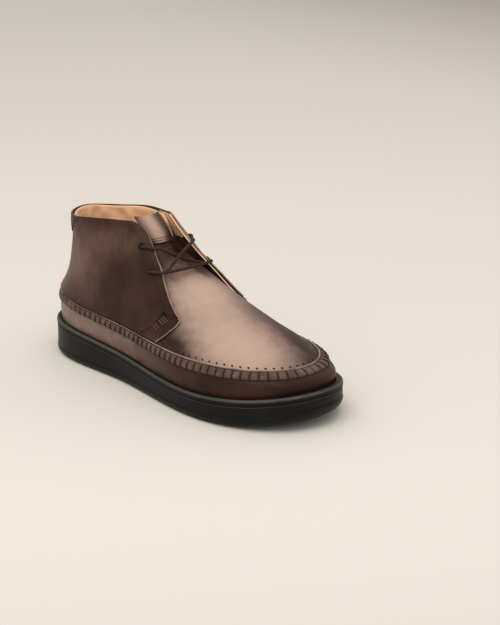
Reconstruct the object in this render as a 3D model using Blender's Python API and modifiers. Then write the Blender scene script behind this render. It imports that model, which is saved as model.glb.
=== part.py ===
"""A moc-toe chukka boot for the right foot, standing empty on a rubber cupsole.

The toe points along +X, the outer side of the foot is -Y, and the floor is z = 0.
The last is a table of rings, from the cup floor up to the collar. Each ring is a closed
outline worked out from the last's length, its widths and the shaft's height. A place on the
last is (around, ring): around runs from the heel's back at 0, over the outer side, to the
toe at 0.5, and back over the inner side to 1.
"""

import math

import bmesh
import bpy
import numpy as np
from mathutils import Vector

# Driving sizes, in metres
LAST_LENGTH = 0.2975
BALL_WIDTH = 0.105
HEEL_WIDTH = 0.0766
SHAFT_HEIGHT = 0.0965

# Heights of the cupsole's rim above the floor, from the back to the toe's tip
RIM_AT_BACK = 0.0305
RIM_AT_HEEL = 0.0305
RIM_AT_WAIST = 0.025
RIM_AT_BALL = 0.0215
RIM_AT_TIP = 0.032

# Walls, seams and running clearances
UPPER_WALL = 0.0019
QUARTER_WALL = 0.0019
TONGUE_WALL = 0.0016
PULL_TAB_WALL = 0.0014
GAP = 0.00035
SEAM_RAISE = 0.0014
RIDGE_RAISE = 0.0013
MARGIN = 0.009

# Cupsole
CUP_DEPTH = 0.0093
RIM_WIDTH = 0.0026
RIM_BAND = 0.0064
GROOVE_WIDTH = 0.0012
GROOVE_DEPTH = 0.0008
SIDE_FLARE = 0.0014
FOOT_BEVEL = 0.0034
TOE_BUMPER = 0.0024
TOE_SPRING = 0.008
SPRING_START = 0.756

# Insole, pull tab, lace and its holes
INSOLE_THICKNESS = 0.0045
PULL_TAB_WIDTH = 0.0832
LACE_DIAMETER = 0.0026
LACE_CLEARANCE = 0.0006
EYELET_HOLE = 0.0046
BACK_SEAM = 0.0005

AROUND_STEPS = 64
INSOLE_STEPS = 40

# Where the outline's half widths are given, as shares of each ring's own length
STATIONS = (0.14, 0.40, 0.70)

# Rings of the last. Lengths along the foot and end radii are shares of LAST_LENGTH. The heel's
# half width is a share of HEEL_WIDTH, and the waist's, the ball's and the lean towards the
# inner side are shares of BALL_WIDTH. Heights above the rim are shares of SHAFT_HEIGHT.
RING_COLUMNS = (
    "back", "front", "back_round", "front_round", "heel", "waist", "ball", "lean",
    "z_back", "z_heel", "z_waist", "z_ball", "z_front",
)
RINGS = (
    # cup floor
    (0.006, 0.994, 0.118, 0.142, 0.474, 0.368, 0.503, 0.0, -0.093, -0.093, -0.093, -0.093, -0.093),
    # feather edge, level with the rim
    (0.003, 1.000, 0.121, 0.145, 0.487, 0.372, 0.514, 0.0, 0.0, 0.0, 0.0, 0.0, 0.0),
    # middle of the side wall
    (0.003, 0.993, 0.118, 0.145, 0.500, 0.379, 0.520, 0.0, 0.127, 0.119, 0.114, 0.114, 0.073),
    # apron seam
    (0.012, 0.946, 0.111, 0.139, 0.494, 0.365, 0.484, 0.0, 0.270, 0.235, 0.234, 0.244, 0.124),
    (0.031, 0.892, 0.104, 0.114, 0.437, 0.333, 0.393, 0.0, 0.378, 0.337, 0.356, 0.358, 0.218),
    (0.050, 0.800, 0.098, 0.098, 0.392, 0.303, 0.310, 0.004, 0.513, 0.477, 0.508, 0.482, 0.344),
    (0.060, 0.687, 0.091, 0.091, 0.363, 0.284, 0.262, 0.007, 0.648, 0.627, 0.663, 0.632, 0.518),
    (0.066, 0.578, 0.088, 0.084, 0.335, 0.280, 0.238, 0.012, 0.782, 0.777, 0.812, 0.782, 0.699),
    (0.067, 0.481, 0.085, 0.077, 0.322, 0.279, 0.233, 0.014, 0.896, 0.892, 0.938, 0.927, 0.850),
    # collar
    (0.064, 0.408, 0.075, 0.074, 0.290, 0.280, 0.229, 0.015, 0.988, 0.974, 1.067, 1.130, 1.020),
)
FEATHER_RING = 1
COLLAR_RING = 9

# The last's centre line bends to the inner side: places are shares of LAST_LENGTH, and
# bends are shares of BALL_WIDTH.
BEND_PLACES = (0.0, 0.353, 0.672, 1.01)
BENDS = (0.0, -0.0235, 0.017, 0.070)

# The instep under the facings lies behind and below the last's rings. The shifts are shares of
# LAST_LENGTH backwards and of SHAFT_HEIGHT downwards, at a ring number.
THROAT_COLUMNS = ("ring", "backwards", "down")
THROAT = (
    (5.0, 0.0, 0.0),
    (6.0, 0.009, 0.026),
    (6.5, 0.024, 0.047),
    (7.0, 0.040, 0.088),
    (7.5, 0.044, 0.114),
    (8.0, 0.035, 0.109),
    (8.5, 0.031, 0.078),
    (9.0, 0.052, 0.0),
)
THROAT_FLAT = 0.06
THROAT_REACH = 0.17

# Side wall, seam band and ridge as steps of the upper's outer face: ring number, then shares
# of SEAM_RAISE and of RIDGE_RAISE
WALL_COLUMNS = ("ring", "seam", "ridge")
WALL_STEPS = (
    (1.0, 0.0, 0.0),
    (1.45, 0.0, 0.0),
    (1.95, 0.0, 0.0),
    (2.44, 0.0, 0.0),
    (2.48, 0.75, 0.0),
    (2.70, 1.0, 0.0),
    (2.92, 0.75, 0.0),
    (2.97, 0.0, 1.0),
    (3.04, 0.0, 1.0),
    (3.07, 0.0, 0.0),
)
# Rings of the upper above the seam, as shares of the way up to its top edge
UPPER_ROWS = (0.075, 0.17, 0.29, 0.39, 0.50, 0.62, 0.72, 0.80, 0.89, 0.96, 1.0)
INNER_ROWS = (1.4, 2.0, 2.7, 3.4)
UPPER_TOP = 8.93
THROAT_TOP = 8.58
THROAT_TOP_FROM = 0.105
THROAT_TOP_TO = 0.160

# Front edge of each quarter: ring number, and how far around it lies. It runs up from the seam
# to a corner, and on from the corner up the facing to the collar.
QUARTER_FRONT = ((3.14, 0.280), (3.5, 0.289), (4.05, 0.302), (4.8, 0.326))
FACING = (
    (4.8, 0.326), (5.4, 0.328), (6.05, 0.340), (6.75, 0.360), (7.3, 0.380), (7.65, 0.391),
    (7.95, 0.402), (8.3, 0.410), (8.6, 0.412), (8.8, 0.405), (8.92, 0.394), (9.0, 0.378),
)
QUARTER_CORNER = 4.8
QUARTER_ROWS = (3.14, 3.55, 4.1, 4.8, 5.4, 6.05, 6.75, 7.3, 7.8, 8.3, 8.6, 8.8, 8.92, 9.0)
QUARTER_ALIGNED = 17
QUARTER_FRONT_COLUMNS = (0.22, 0.42, 0.60, 0.74, 0.87, 1.0)

# The facings stand off the instep, to leave room for the lace: shares of the whole lift, by
# the way back from the facing's edge, and by ring number.
LIFT_BACK = ((0.0, 0.35), (0.012, 0.78), (0.026, 1.0), (0.05, 0.62), (0.085, 0.0))
LIFT_UP = ((3.0, 0.0), (4.8, 0.22), (5.5, 0.65), (6.3, 1.0), (8.1, 1.0), (8.6, 0.55), (9.0, 0.2))

# Eyelets as (around, ring) on the outer quarter; the inner quarter mirrors them
UPPER_EYELET = (0.374, 8.05)
LOWER_EYELET = (0.338, 6.85)

# The lace's way from the middle of a hole past the facing's edge, as shares of the way to that
# edge, of the leg's rise in ring number and of its height off the facing
LACE_LEG_COLUMNS = ("forward", "rise", "height")
LACE_LEG = ((0.0, 0.0, 0.0), (0.1, 0.1, 0.95), (0.5, 0.5, 1.0), (1.0, 1.0, 1.0), (1.35, 1.2, 1.0))
LACE_RISE = 0.12

# Tongue tip: its lower edge laps the upper's top edge
TONGUE_ROWS = (8.42, 8.52, 8.62, 8.72, 8.82, 8.92, 9.03)
TONGUE_COLUMNS = (-1.0, -0.72, -0.36, 0.0, 0.36, 0.72, 1.0)
TONGUE_HALF_LOW = 0.058
TONGUE_HALF_TOP = 0.070

# Pull tab at the back of the collar: ring number, and the share of PULL_TAB_WIDTH there
PULL_TAB_ROW_COLUMNS = ("ring", "width")
PULL_TAB_ROWS = (
    (7.3, 0.65), (7.6, 0.71), (7.95, 0.78), (8.4, 0.86), (8.8, 0.96), (9.12, 1.0),
)
PULL_TAB_STEPS = 14


def cubic(knots, values, at, start=None, end=None):
    """Cubic spline through the values, with given end slopes, or free ends for None."""
    knots = np.asarray(knots, float)
    values = np.asarray(values, float)
    count = len(knots)
    step = np.diff(knots)
    left = np.zeros((count, count))
    right = np.zeros((count,) + values.shape[1:])
    rise = np.diff(values, axis=0) / step.reshape((-1,) + (1,) * (values.ndim - 1))
    for row in range(1, count - 1):
        left[row, row - 1 : row + 2] = step[row - 1], 2 * (step[row - 1] + step[row]), step[row]
        right[row] = 6 * (rise[row] - rise[row - 1])
    left[0, 0] = left[-1, -1] = 1.0
    if start is not None:
        left[0, :2] = 2 * step[0], step[0]
        right[0] = 6 * (rise[0] - start)
    if end is not None:
        left[-1, -2:] = step[-1], 2 * step[-1]
        right[-1] = 6 * (end - rise[-1])
    bend = np.linalg.solve(left, right.reshape(count, -1)).reshape(right.shape)
    at = np.asarray(at, float)
    span = np.clip(np.searchsorted(knots, at, side="right") - 1, 0, count - 2)
    width = step[span]
    before = (knots[span + 1] - at) / width
    after = (at - knots[span]) / width
    if values.ndim > 1:
        width, before, after = width[..., None], before[..., None], after[..., None]
    curve = (before**3 - before) * bend[span] + (after**3 - after) * bend[span + 1]
    return before * values[span] + after * values[span + 1] + curve * width**2 / 6


def named(columns, table):
    """The table's rows as dictionaries by column name."""
    return [dict(zip(columns, row)) for row in table]


def centre_line(x):
    """How far the last's centre line lies towards the inner side, at x."""
    places = np.array(BEND_PLACES) * LAST_LENGTH
    return cubic(places, np.array(BENDS) * BALL_WIDTH, np.clip(x, places[0], places[-1]))


RIM_HEIGHTS = (RIM_AT_BACK, RIM_AT_HEEL, RIM_AT_WAIST, RIM_AT_BALL, RIM_AT_TIP)
TURNS = np.array([0.0] + [math.acos(1 - 2 * share) for share in STATIONS] + [math.pi])


def sized_ring(row):
    """A ring of the table in metres: ends, end radii, half widths, lean and heights."""
    heights = [row[key] for key in ("z_back", "z_heel", "z_waist", "z_ball", "z_front")]
    return {
        "back": row["back"] * LAST_LENGTH,
        "front": row["front"] * LAST_LENGTH,
        "rounds": np.array([row["back_round"], row["front_round"]]) * LAST_LENGTH,
        "halves": np.array(
            [row["heel"] * HEEL_WIDTH, row["waist"] * BALL_WIDTH, row["ball"] * BALL_WIDTH]
        ),
        "lean": row["lean"] * BALL_WIDTH,
        "heights": np.array(RIM_HEIGHTS) + np.array(heights) * SHAFT_HEIGHT,
    }


LAST_RINGS = [sized_ring(row) for row in named(RING_COLUMNS, RINGS)]


def grown(ring, outward, upward=0.0, forward=0.0):
    """The ring's outline moved outward all round, upward, and at its front also forward."""
    return {
        "back": ring["back"] - outward,
        "front": ring["front"] + outward + forward,
        "rounds": ring["rounds"] + outward,
        "halves": ring["halves"] + outward,
        "lean": ring["lean"],
        "heights": ring["heights"] + upward,
    }


def outline(ring, around):
    """Points of a ring, at each value of around."""
    around = np.asarray(around, float) % 1.0
    outer = around <= 0.5
    turn = np.where(outer, around, 1 - around) * 2 * math.pi
    length = ring["front"] - ring["back"]
    slopes = np.sqrt(ring["rounds"] * length / 2)
    half = cubic(TURNS, [0.0, *ring["halves"], 0.0], turn, slopes[0], -slopes[1])
    share = (1 - np.cos(turn)) / 2
    x = ring["back"] + length * share
    y = centre_line(x) + ring["lean"] * share + np.where(outer, -half, half)
    z = cubic(TURNS, ring["heights"], turn, 0.0, 0.0)
    return np.stack([x, y, z], axis=-1)


def last_point(around, ring):
    """A place on the last, from a smooth curve through its rings."""
    around, ring = np.broadcast_arrays(np.asarray(around, float), np.asarray(ring, float))
    flat_around, flat_ring = around.ravel(), ring.ravel()
    points = np.array([outline(each, flat_around) for each in LAST_RINGS])
    numbers = np.arange(len(LAST_RINGS))
    coarse = points.reshape(len(numbers), -1)
    count = len(numbers)
    left = np.eye(count)
    right = np.zeros_like(coarse)
    for row in range(1, count - 1):
        left[row, row - 1 : row + 2] = 1.0, 4.0, 1.0
        right[row] = 6 * (coarse[row + 1] - 2 * coarse[row] + coarse[row - 1])
    bend = np.linalg.solve(left, right).reshape(points.shape)
    span = np.clip(np.floor(flat_ring).astype(int), 0, count - 2)
    each = np.arange(len(flat_around))
    before = (span + 1 - flat_ring)[:, None]
    after = (flat_ring - span)[:, None]
    curve = (before**3 - before) * bend[span, each] + (after**3 - after) * bend[span + 1, each]
    smooth = before * points[span, each] + after * points[span + 1, each] + curve / 6
    return smooth.reshape(around.shape + (3,))


def eased(share):
    """0 to 1 with soft ends."""
    share = np.clip(share, 0.0, 1.0)
    return share * share * (3 - 2 * share)


def upper_point(around, ring):
    """The last's surface with the instep set back under the facings."""
    points = last_point(around, ring)
    rows = named(THROAT_COLUMNS, THROAT)
    numbers = [row["ring"] for row in rows]
    shifts = [
        (-row["backwards"] * LAST_LENGTH, 0.0, -row["down"] * SHAFT_HEIGHT) for row in rows
    ]
    ring = np.broadcast_to(ring, points.shape[:-1])
    shift = cubic(numbers, shifts, np.maximum(ring, numbers[0]))
    from_middle = np.abs(np.asarray(around) % 1.0 - 0.5)
    weight = eased((THROAT_REACH - from_middle) / (THROAT_REACH - THROAT_FLAT))
    return points + shift * np.broadcast_to(weight, ring.shape)[..., None]


def raised(surface, around, ring, outward):
    """Points of a surface, moved outward along its normal."""
    tiny = 1e-4
    along = surface(around + tiny, ring) - surface(around - tiny, ring)
    up = surface(around, ring + tiny) - surface(around, ring - tiny)
    normal = np.cross(along, up)
    normal /= np.linalg.norm(normal, axis=-1, keepdims=True)
    return surface(around, ring) + normal * np.asarray(outward)[..., None]


def facing_edge(ring):
    """How far around a quarter reaches forward, at each ring number."""
    low, high = np.array(QUARTER_FRONT), np.array(FACING)
    below = np.interp(ring, low[:, 0], low[:, 1])
    above = cubic(high[:, 0], high[:, 1], np.maximum(ring, QUARTER_CORNER))
    return np.where(ring < QUARTER_CORNER, below, above)


def facing_lift(around, ring):
    """How far a quarter stands off the last, at a place on the outer side."""
    back, up = np.array(LIFT_BACK), np.array(LIFT_UP)
    behind = np.maximum(facing_edge(ring) - around, 0.0)
    shape = np.interp(behind, back[:, 0], back[:, 1]) * np.interp(ring, up[:, 0], up[:, 1])
    return shape * (LACE_DIAMETER + 2 * LACE_CLEARANCE)


def quarter_point(around, ring, outward=0.0):
    """A place on a quarter's inner face, or outward of it, on either side."""
    around, ring = np.broadcast_arrays(np.asarray(around, float), np.asarray(ring, float))
    mirrored = np.where(around > 0.5, 1 - around, around)
    return raised(last_point, around, ring, GAP + facing_lift(mirrored, ring) + outward)


def material(name, colour, roughness, metallic=0.0):
    """A plain material for one sub-part."""
    made = bpy.data.materials.new(name)
    made.use_nodes = True
    shader = made.node_tree.nodes["Principled BSDF"]
    shader.inputs["Base Color"].default_value = (*colour, 1.0)
    shader.inputs["Roughness"].default_value = roughness
    shader.inputs["Metallic"].default_value = metallic
    return made


def add_object(name, mesh, collection, parent, finish=None):
    """An object for the mesh, in its collection and under its parent."""
    made = bpy.data.objects.new(name, mesh)
    collection.objects.link(made)
    made.parent = parent
    if finish:
        mesh.materials.append(finish)
    return made


def shade(made, angle=math.radians(35)):
    """Smooth shading with sharp edges kept."""
    made.data.shade_smooth()
    made.data.set_sharp_from_angle(angle=angle)


def loft(name, loops, closed, collection, parent, finish):
    """A solid through closed outlines. Its ends are capped across, or joined to each other."""
    loops = np.asarray(loops)
    levels, steps = loops.shape[:2]
    faces = []
    for level in range(levels if closed else levels - 1):
        this, following = level * steps, (level + 1) % levels * steps
        for step in range(steps):
            beside = (step + 1) % steps
            faces.append((this + step, this + beside, following + beside, following + step))
    if not closed:
        for first in (0, (levels - 1) * steps):
            for step in range(steps // 2):
                across = (first + (steps - step) % steps, first + steps - step - 1)
                corners = (first + step, first + step + 1, across[1], across[0])
                faces.append(tuple(dict.fromkeys(corners)))
    mesh = bpy.data.meshes.new(name)
    mesh.from_pydata([tuple(point) for point in loops.reshape(-1, 3)], [], faces)
    shell = bmesh.new()
    shell.from_mesh(mesh)
    bmesh.ops.recalc_face_normals(shell, faces=shell.faces)
    shell.to_mesh(mesh)
    shell.free()
    made = add_object(name, mesh, collection, parent, finish)
    shade(made)
    return made


def sheet(name, grid, wall, collection, parent, finish):
    """A thin piece: the grid is its inner face, and Solidify gives it the wall."""
    grid = np.asarray(grid)
    rows, columns = grid.shape[:2]
    faces = [
        (row * columns + column, row * columns + column + 1,
         (row + 1) * columns + column + 1, (row + 1) * columns + column)
        for row in range(rows - 1)
        for column in range(columns - 1)
    ]
    mesh = bpy.data.meshes.new(name)
    mesh.from_pydata([tuple(point) for point in grid.reshape(-1, 3)], [], faces)
    made = add_object(name, mesh, collection, parent, finish)
    shade(made)
    skin = made.modifiers.new("wall", "SOLIDIFY")
    skin.thickness = wall
    skin.offset = 1.0
    skin.use_even_offset = True
    return made


def sole_underside(x):
    """Height of the underside above the floor: flat, then the toe's spring."""
    start = SPRING_START * LAST_LENGTH
    share = np.clip((x - start) / (LAST_LENGTH - start), 0.0, None)
    return TOE_SPRING * share**2


def sole_loops(around):
    """Outlines of the cupsole, from its underside up the side and down into the cup."""
    feather = LAST_RINGS[FEATHER_RING]
    rim_out = GAP + RIM_WIDTH
    wall_out = rim_out + SIDE_FLARE
    under_groove = RIM_BAND + GROOVE_WIDTH
    from_floor = (
        (wall_out - FOOT_BEVEL, 0.0),
        (wall_out - FOOT_BEVEL * 0.35, FOOT_BEVEL * 0.35),
        (wall_out, FOOT_BEVEL * 1.2),
    )
    from_rim = (
        (wall_out, under_groove + GROOVE_DEPTH / 2),
        (wall_out - GROOVE_DEPTH, under_groove),
        (wall_out - GROOVE_DEPTH, RIM_BAND),
        (wall_out - GROOVE_DEPTH / 4, RIM_BAND - GROOVE_DEPTH / 2),
        (rim_out + RIM_WIDTH * 0.18, RIM_WIDTH * 0.3),
        (rim_out, 0.0),
    )
    loops = []
    for outward, height in from_floor:
        points = outline(grown(feather, outward, forward=TOE_BUMPER), around)
        points[:, 2] = sole_underside(points[:, 0]) + height
        loops.append(points)
    for outward, depth in from_rim:
        loops.append(outline(grown(feather, outward, -depth, TOE_BUMPER), around))
    loops.append(outline(grown(feather, GAP), around))
    loops.append(floor_outline(around, -GAP, 0.0))
    return loops


def cup_floor(x):
    """Height of the cup's floor at x. It follows the rim."""
    feather = LAST_RINGS[FEATHER_RING]
    share = (x - feather["back"]) / (feather["front"] - feather["back"])
    turn = np.arccos(1 - 2 * np.clip(share, 0.0, 1.0))
    return cubic(TURNS, RIM_HEIGHTS, turn, 0.0, 0.0) - CUP_DEPTH


def floor_outline(around, inset, height):
    """The last's outline on the cup's floor, inset, and at a height above that floor."""
    points = outline(grown(LAST_RINGS[0], -inset), around)
    points[:, 2] = cup_floor(points[:, 0]) + height
    return points


def top_ring(around):
    """Ring number of the upper's top edge: the collar, and a dip at the throat."""
    from_middle = np.abs(around - 0.5)
    share = (from_middle - THROAT_TOP_FROM) / (THROAT_TOP_TO - THROAT_TOP_FROM)
    return THROAT_TOP + (UPPER_TOP - THROAT_TOP) * eased(share)


def upper_loops(around):
    """Outlines of the upper's wall: up its outer face, and down its inner one."""
    corner = UPPER_WALL * 0.4
    steps = named(WALL_COLUMNS, WALL_STEPS)
    last_step = steps[-1]["ring"]
    loops = [
        floor_outline(around, MARGIN, GAP),
        floor_outline(around, corner, GAP),
        floor_outline(around, 0.0, GAP + corner),
    ]
    for step in steps:
        outward = step["seam"] * SEAM_RAISE + step["ridge"] * RIDGE_RAISE
        ring = np.full(len(around), step["ring"])
        loops.append(raised(upper_point, around, ring, np.full(len(around), outward)))
    above = [last_step + (top_ring(around) - last_step) * share for share in UPPER_ROWS]
    outer, inner = np.zeros(len(around)), np.full(len(around), -UPPER_WALL)
    loops += [raised(upper_point, around, ring, outer) for ring in above]
    loops += [raised(upper_point, around, ring, inner) for ring in reversed(above[1:])]
    for number in reversed(INNER_ROWS):
        loops.append(raised(upper_point, around, np.full(len(around), number), inner))
    loops.append(floor_outline(around, UPPER_WALL, GAP + UPPER_WALL))
    loops.append(floor_outline(around, MARGIN, GAP + UPPER_WALL))
    return loops


def insole_loops(around):
    """Outlines of the insole: a plug inside the upper's margin, and the footbed over it."""
    step_height = GAP + UPPER_WALL + GAP
    inner_wall = UPPER_WALL + 2 * GAP
    return [
        floor_outline(around, MARGIN + GAP, GAP),
        floor_outline(around, MARGIN + GAP, step_height),
        floor_outline(around, inner_wall, step_height),
        floor_outline(around, inner_wall, step_height + INSOLE_THICKNESS * 0.8),
        floor_outline(around, inner_wall + INSOLE_THICKNESS * 0.2, step_height + INSOLE_THICKNESS),
    ]


def quarter_grid(inner_side):
    """Inner face of a quarter, with its columns in the order of around."""
    rows = np.array(QUARTER_ROWS)
    back_reach = math.tau * math.sqrt(
        LAST_RINGS[COLLAR_RING]["rounds"][0]
        * (LAST_RINGS[COLLAR_RING]["front"] - LAST_RINGS[COLLAR_RING]["back"]) / 2
    )
    aligned = np.arange(QUARTER_ALIGNED + 1) / AROUND_STEPS
    aligned[0] = BACK_SEAM / 2 / back_reach
    edge = facing_edge(rows)
    front = aligned[-1] + (edge[:, None] - aligned[-1]) * np.array(QUARTER_FRONT_COLUMNS)
    around = np.hstack([np.tile(aligned, (len(rows), 1)), front])
    if inner_side:
        around = 1 - around[:, ::-1]
    return quarter_point(around, np.repeat(rows[:, None], around.shape[1], axis=1))


def quarter_frame(around, ring):
    """The middle of a quarter's wall at a place, and its outward direction."""
    inside = quarter_point(around, ring)
    outside = quarter_point(around, ring, QUARTER_WALL)
    return (inside + outside) / 2, (outside - inside) / np.linalg.norm(outside - inside)


def punch_eyelets(made, inner_side, cutters, parent):
    """Cuts a quarter's two eyelet holes."""
    for number, (around, ring) in enumerate((UPPER_EYELET, LOWER_EYELET)):
        middle, outward = quarter_frame(1 - around if inner_side else around, ring)
        mesh = bpy.data.meshes.new(f"{made.name}_punch_{number}")
        punch = bmesh.new()
        bmesh.ops.create_cone(
            punch, cap_ends=True, segments=16, radius1=EYELET_HOLE / 2,
            radius2=EYELET_HOLE / 2, depth=6 * QUARTER_WALL,
        )
        punch.to_mesh(mesh)
        punch.free()
        cutter = add_object(mesh.name, mesh, cutters, parent)
        cutter.location = Vector(middle)
        cutter.rotation_euler = Vector(outward).to_track_quat("Z", "Y").to_euler()
        cutter.hide_render = True
        cutter.display_type = "WIRE"
        cut = made.modifiers.new(f"eyelet_{number}", "BOOLEAN")
        cut.operation = "DIFFERENCE"
        cut.object = cutter


def tongue_grid():
    """Inner face of the tongue's tip, which stands up out of the throat."""
    rows = np.array(TONGUE_ROWS)
    share = (rows - rows[0]) / (rows[-1] - rows[0])
    half = TONGUE_HALF_LOW + (TONGUE_HALF_TOP - TONGUE_HALF_LOW) * share
    around = 0.5 + half[:, None] * np.array(TONGUE_COLUMNS)
    ring = np.repeat(rows[:, None], around.shape[1], axis=1)
    return raised(upper_point, around, ring, np.full(ring.shape, GAP))


def pull_tab_grid():
    """Inner face of the pull tab, which wraps the back seam under the collar."""
    table = named(PULL_TAB_ROW_COLUMNS, PULL_TAB_ROWS)
    rows = np.array([row["ring"] for row in table])
    halves = np.array([row["width"] for row in table]) * PULL_TAB_WIDTH / 2
    backs = cubic(np.arange(len(LAST_RINGS)), [r["rounds"][0] for r in LAST_RINGS], rows)
    lengths = cubic(
        np.arange(len(LAST_RINGS)), [r["front"] - r["back"] for r in LAST_RINGS], rows
    )
    reach = math.tau * np.sqrt(backs * lengths / 2)
    around = (halves / reach)[:, None] * np.linspace(-1.0, 1.0, PULL_TAB_STEPS + 1)
    ring = np.repeat(rows[:, None], around.shape[1], axis=1)
    return raised(last_point, around, ring, np.full(ring.shape, 3 * GAP + QUARTER_WALL))


def lace_leg(eyelet, inner_side, rise, height):
    """Stops from the middle of an eyelet's hole past its facing's edge, off one of its faces."""
    middle = QUARTER_WALL / 2
    reach = facing_edge(eyelet[1]) - eyelet[0]
    stops = []
    for leg in named(LACE_LEG_COLUMNS, LACE_LEG):
        around = eyelet[0] + leg["forward"] * reach
        ring = eyelet[1] + leg["rise"] * rise
        outward = middle + leg["height"] * (height - middle)
        stops.append(quarter_point(1 - around if inner_side else around, ring, outward))
    return stops


def lace_points():
    """The lace's middle line, from the upper outer eyelet round to the upper inner one."""
    half = LACE_DIAMETER / 2
    over = QUARTER_WALL + LACE_CLEARANCE + half
    under = -LACE_CLEARANCE - half
    ends = [
        quarter_point(1 - UPPER_EYELET[0] if inner_side else UPPER_EYELET[0], UPPER_EYELET[1],
                      under - half)
        for inner_side in (False, True)
    ]
    first = lace_leg(UPPER_EYELET, False, -LACE_RISE, over)
    first += reversed(lace_leg(LOWER_EYELET, True, LACE_RISE, under))
    bar = lace_leg(LOWER_EYELET, True, LACE_RISE / 3, over)
    bar += reversed(lace_leg(LOWER_EYELET, False, LACE_RISE / 3, over))
    last = lace_leg(LOWER_EYELET, False, LACE_RISE, under)
    last += reversed(lace_leg(UPPER_EYELET, True, -LACE_RISE, over))
    outward = sum(quarter_frame(place, UPPER_EYELET[1])[1] for place in (0.4, 0.6))
    outward /= np.linalg.norm(outward)
    half_legs = len(LACE_LEG)
    spread = (LACE_DIAMETER + 2 * LACE_CLEARANCE) / 2
    for strand, side in ((first, -1), (last, 1)):
        middle = (strand[half_legs - 1] + strand[half_legs]) / 2
        strand.insert(half_legs, middle + outward * side * spread)
    return np.array([ends[0], *first, *bar[1:-1], *last, ends[1]])


def smooth_route(points, spacing):
    """Even points along a smooth curve through the given ones."""
    lengths = np.linalg.norm(np.diff(points, axis=0), axis=1)
    marks = np.concatenate([[0.0], np.cumsum(np.sqrt(lengths))])
    dense = cubic(marks, points, np.linspace(0.0, marks[-1], 1200))
    walked = np.concatenate([[0.0], np.cumsum(np.linalg.norm(np.diff(dense, axis=0), axis=1))])
    stops = np.linspace(0.0, walked[-1], int(walked[-1] / spacing) + 1)
    return np.stack([np.interp(stops, walked, dense[:, axis]) for axis in range(3)], axis=1)


def add_lace(collection, parent, finish):
    """The lace as one tube along its route."""
    route = smooth_route(lace_points(), LACE_DIAMETER)
    curve = bpy.data.curves.new("lace", "CURVE")
    curve.dimensions = "3D"
    curve.bevel_depth = LACE_DIAMETER / 2
    curve.bevel_resolution = 2
    curve.use_fill_caps = True
    spline = curve.splines.new("POLY")
    spline.points.add(len(route) - 1)
    for target, point in zip(spline.points, route):
        target.co = (*point, 1.0)
    made = bpy.data.objects.new("lace", curve)
    collection.objects.link(made)
    made.parent = parent
    curve.materials.append(finish)


def sole_middle():
    """Middle of the cupsole's box, seen from above."""
    points = np.concatenate(sole_loops(np.arange(AROUND_STEPS) / AROUND_STEPS))
    return (points.min(axis=0) + points.max(axis=0)) / 2


def main():
    for old in list(bpy.data.objects):
        bpy.data.objects.remove(old, do_unlink=True)
    boot = bpy.data.collections.new("chukka_boot")
    cutters = bpy.data.collections.new("cutters")
    for each in (boot, cutters):
        bpy.context.scene.collection.children.link(each)
    middle = sole_middle()
    origin = bpy.data.objects.new("boot_origin", None)
    origin.location = (-middle[0], -middle[1], 0.0)
    boot.objects.link(origin)

    around = np.arange(AROUND_STEPS) / AROUND_STEPS
    rubber = material("cupsole_rubber", (0.022, 0.024, 0.023), 0.55)
    footbed = material("insole_leather", (0.42, 0.20, 0.09), 0.7)
    oiled = material("upper_leather", (0.13, 0.075, 0.055), 0.5)
    panel = material("quarter_leather", (0.085, 0.045, 0.034), 0.5)
    flap = material("tongue_leather", (0.17, 0.10, 0.075), 0.5)
    strap = material("pull_tab_leather", (0.11, 0.06, 0.045), 0.55)
    cord = material("lace_cotton", (0.05, 0.03, 0.022), 0.7)

    loft("cupsole", sole_loops(around), False, boot, origin, rubber)
    insole_around = np.arange(INSOLE_STEPS) / INSOLE_STEPS
    loft("insole", insole_loops(insole_around), False, boot, origin, footbed)
    loft("upper", upper_loops(around), True, boot, origin, oiled)
    for name, inner_side in (("quarter_outer", False), ("quarter_inner", True)):
        made = sheet(name, quarter_grid(inner_side), QUARTER_WALL, boot, origin, panel)
        punch_eyelets(made, inner_side, cutters, origin)
    sheet("tongue", tongue_grid(), TONGUE_WALL, boot, origin, flap)
    sheet("pull_tab", pull_tab_grid(), PULL_TAB_WALL, boot, origin, strap)
    add_lace(boot, origin, cord)


main()
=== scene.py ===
"""Looks of the moc-toe chukka boot: leather, lining, seams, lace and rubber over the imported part.

Places on the last are (around, ring), as in the part's own source: around runs from the heel's
back at 0, over the outer side, to the toe at 0.5, and back over the inner side to 1. Ring
numbers climb from the cup's floor at 0 to the collar at 9.
"""

import math

import bmesh
import bpy
import numpy as np
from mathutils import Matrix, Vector


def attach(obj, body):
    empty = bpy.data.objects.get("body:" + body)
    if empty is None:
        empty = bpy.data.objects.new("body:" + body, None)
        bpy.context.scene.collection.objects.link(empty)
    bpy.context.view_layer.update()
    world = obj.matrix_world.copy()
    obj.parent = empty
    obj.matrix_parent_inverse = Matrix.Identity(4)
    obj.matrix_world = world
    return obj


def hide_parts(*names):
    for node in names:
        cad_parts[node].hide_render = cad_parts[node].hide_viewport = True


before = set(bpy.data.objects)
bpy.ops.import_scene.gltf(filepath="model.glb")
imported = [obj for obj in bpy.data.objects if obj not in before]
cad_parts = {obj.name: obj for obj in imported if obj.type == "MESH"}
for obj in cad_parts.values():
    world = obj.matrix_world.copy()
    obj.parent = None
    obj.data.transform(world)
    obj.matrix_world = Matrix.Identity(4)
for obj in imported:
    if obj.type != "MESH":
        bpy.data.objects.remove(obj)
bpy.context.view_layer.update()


# Driving sizes, in metres
LAST_LENGTH = 0.2975
BALL_WIDTH = 0.105
HEEL_WIDTH = 0.0766
SHAFT_HEIGHT = 0.0965

# Heights of the cupsole's rim above the floor, from the back to the toe's tip
RIM_AT_BACK = 0.0305
RIM_AT_HEEL = 0.0305
RIM_AT_WAIST = 0.025
RIM_AT_BALL = 0.0215
RIM_AT_TIP = 0.032

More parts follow.
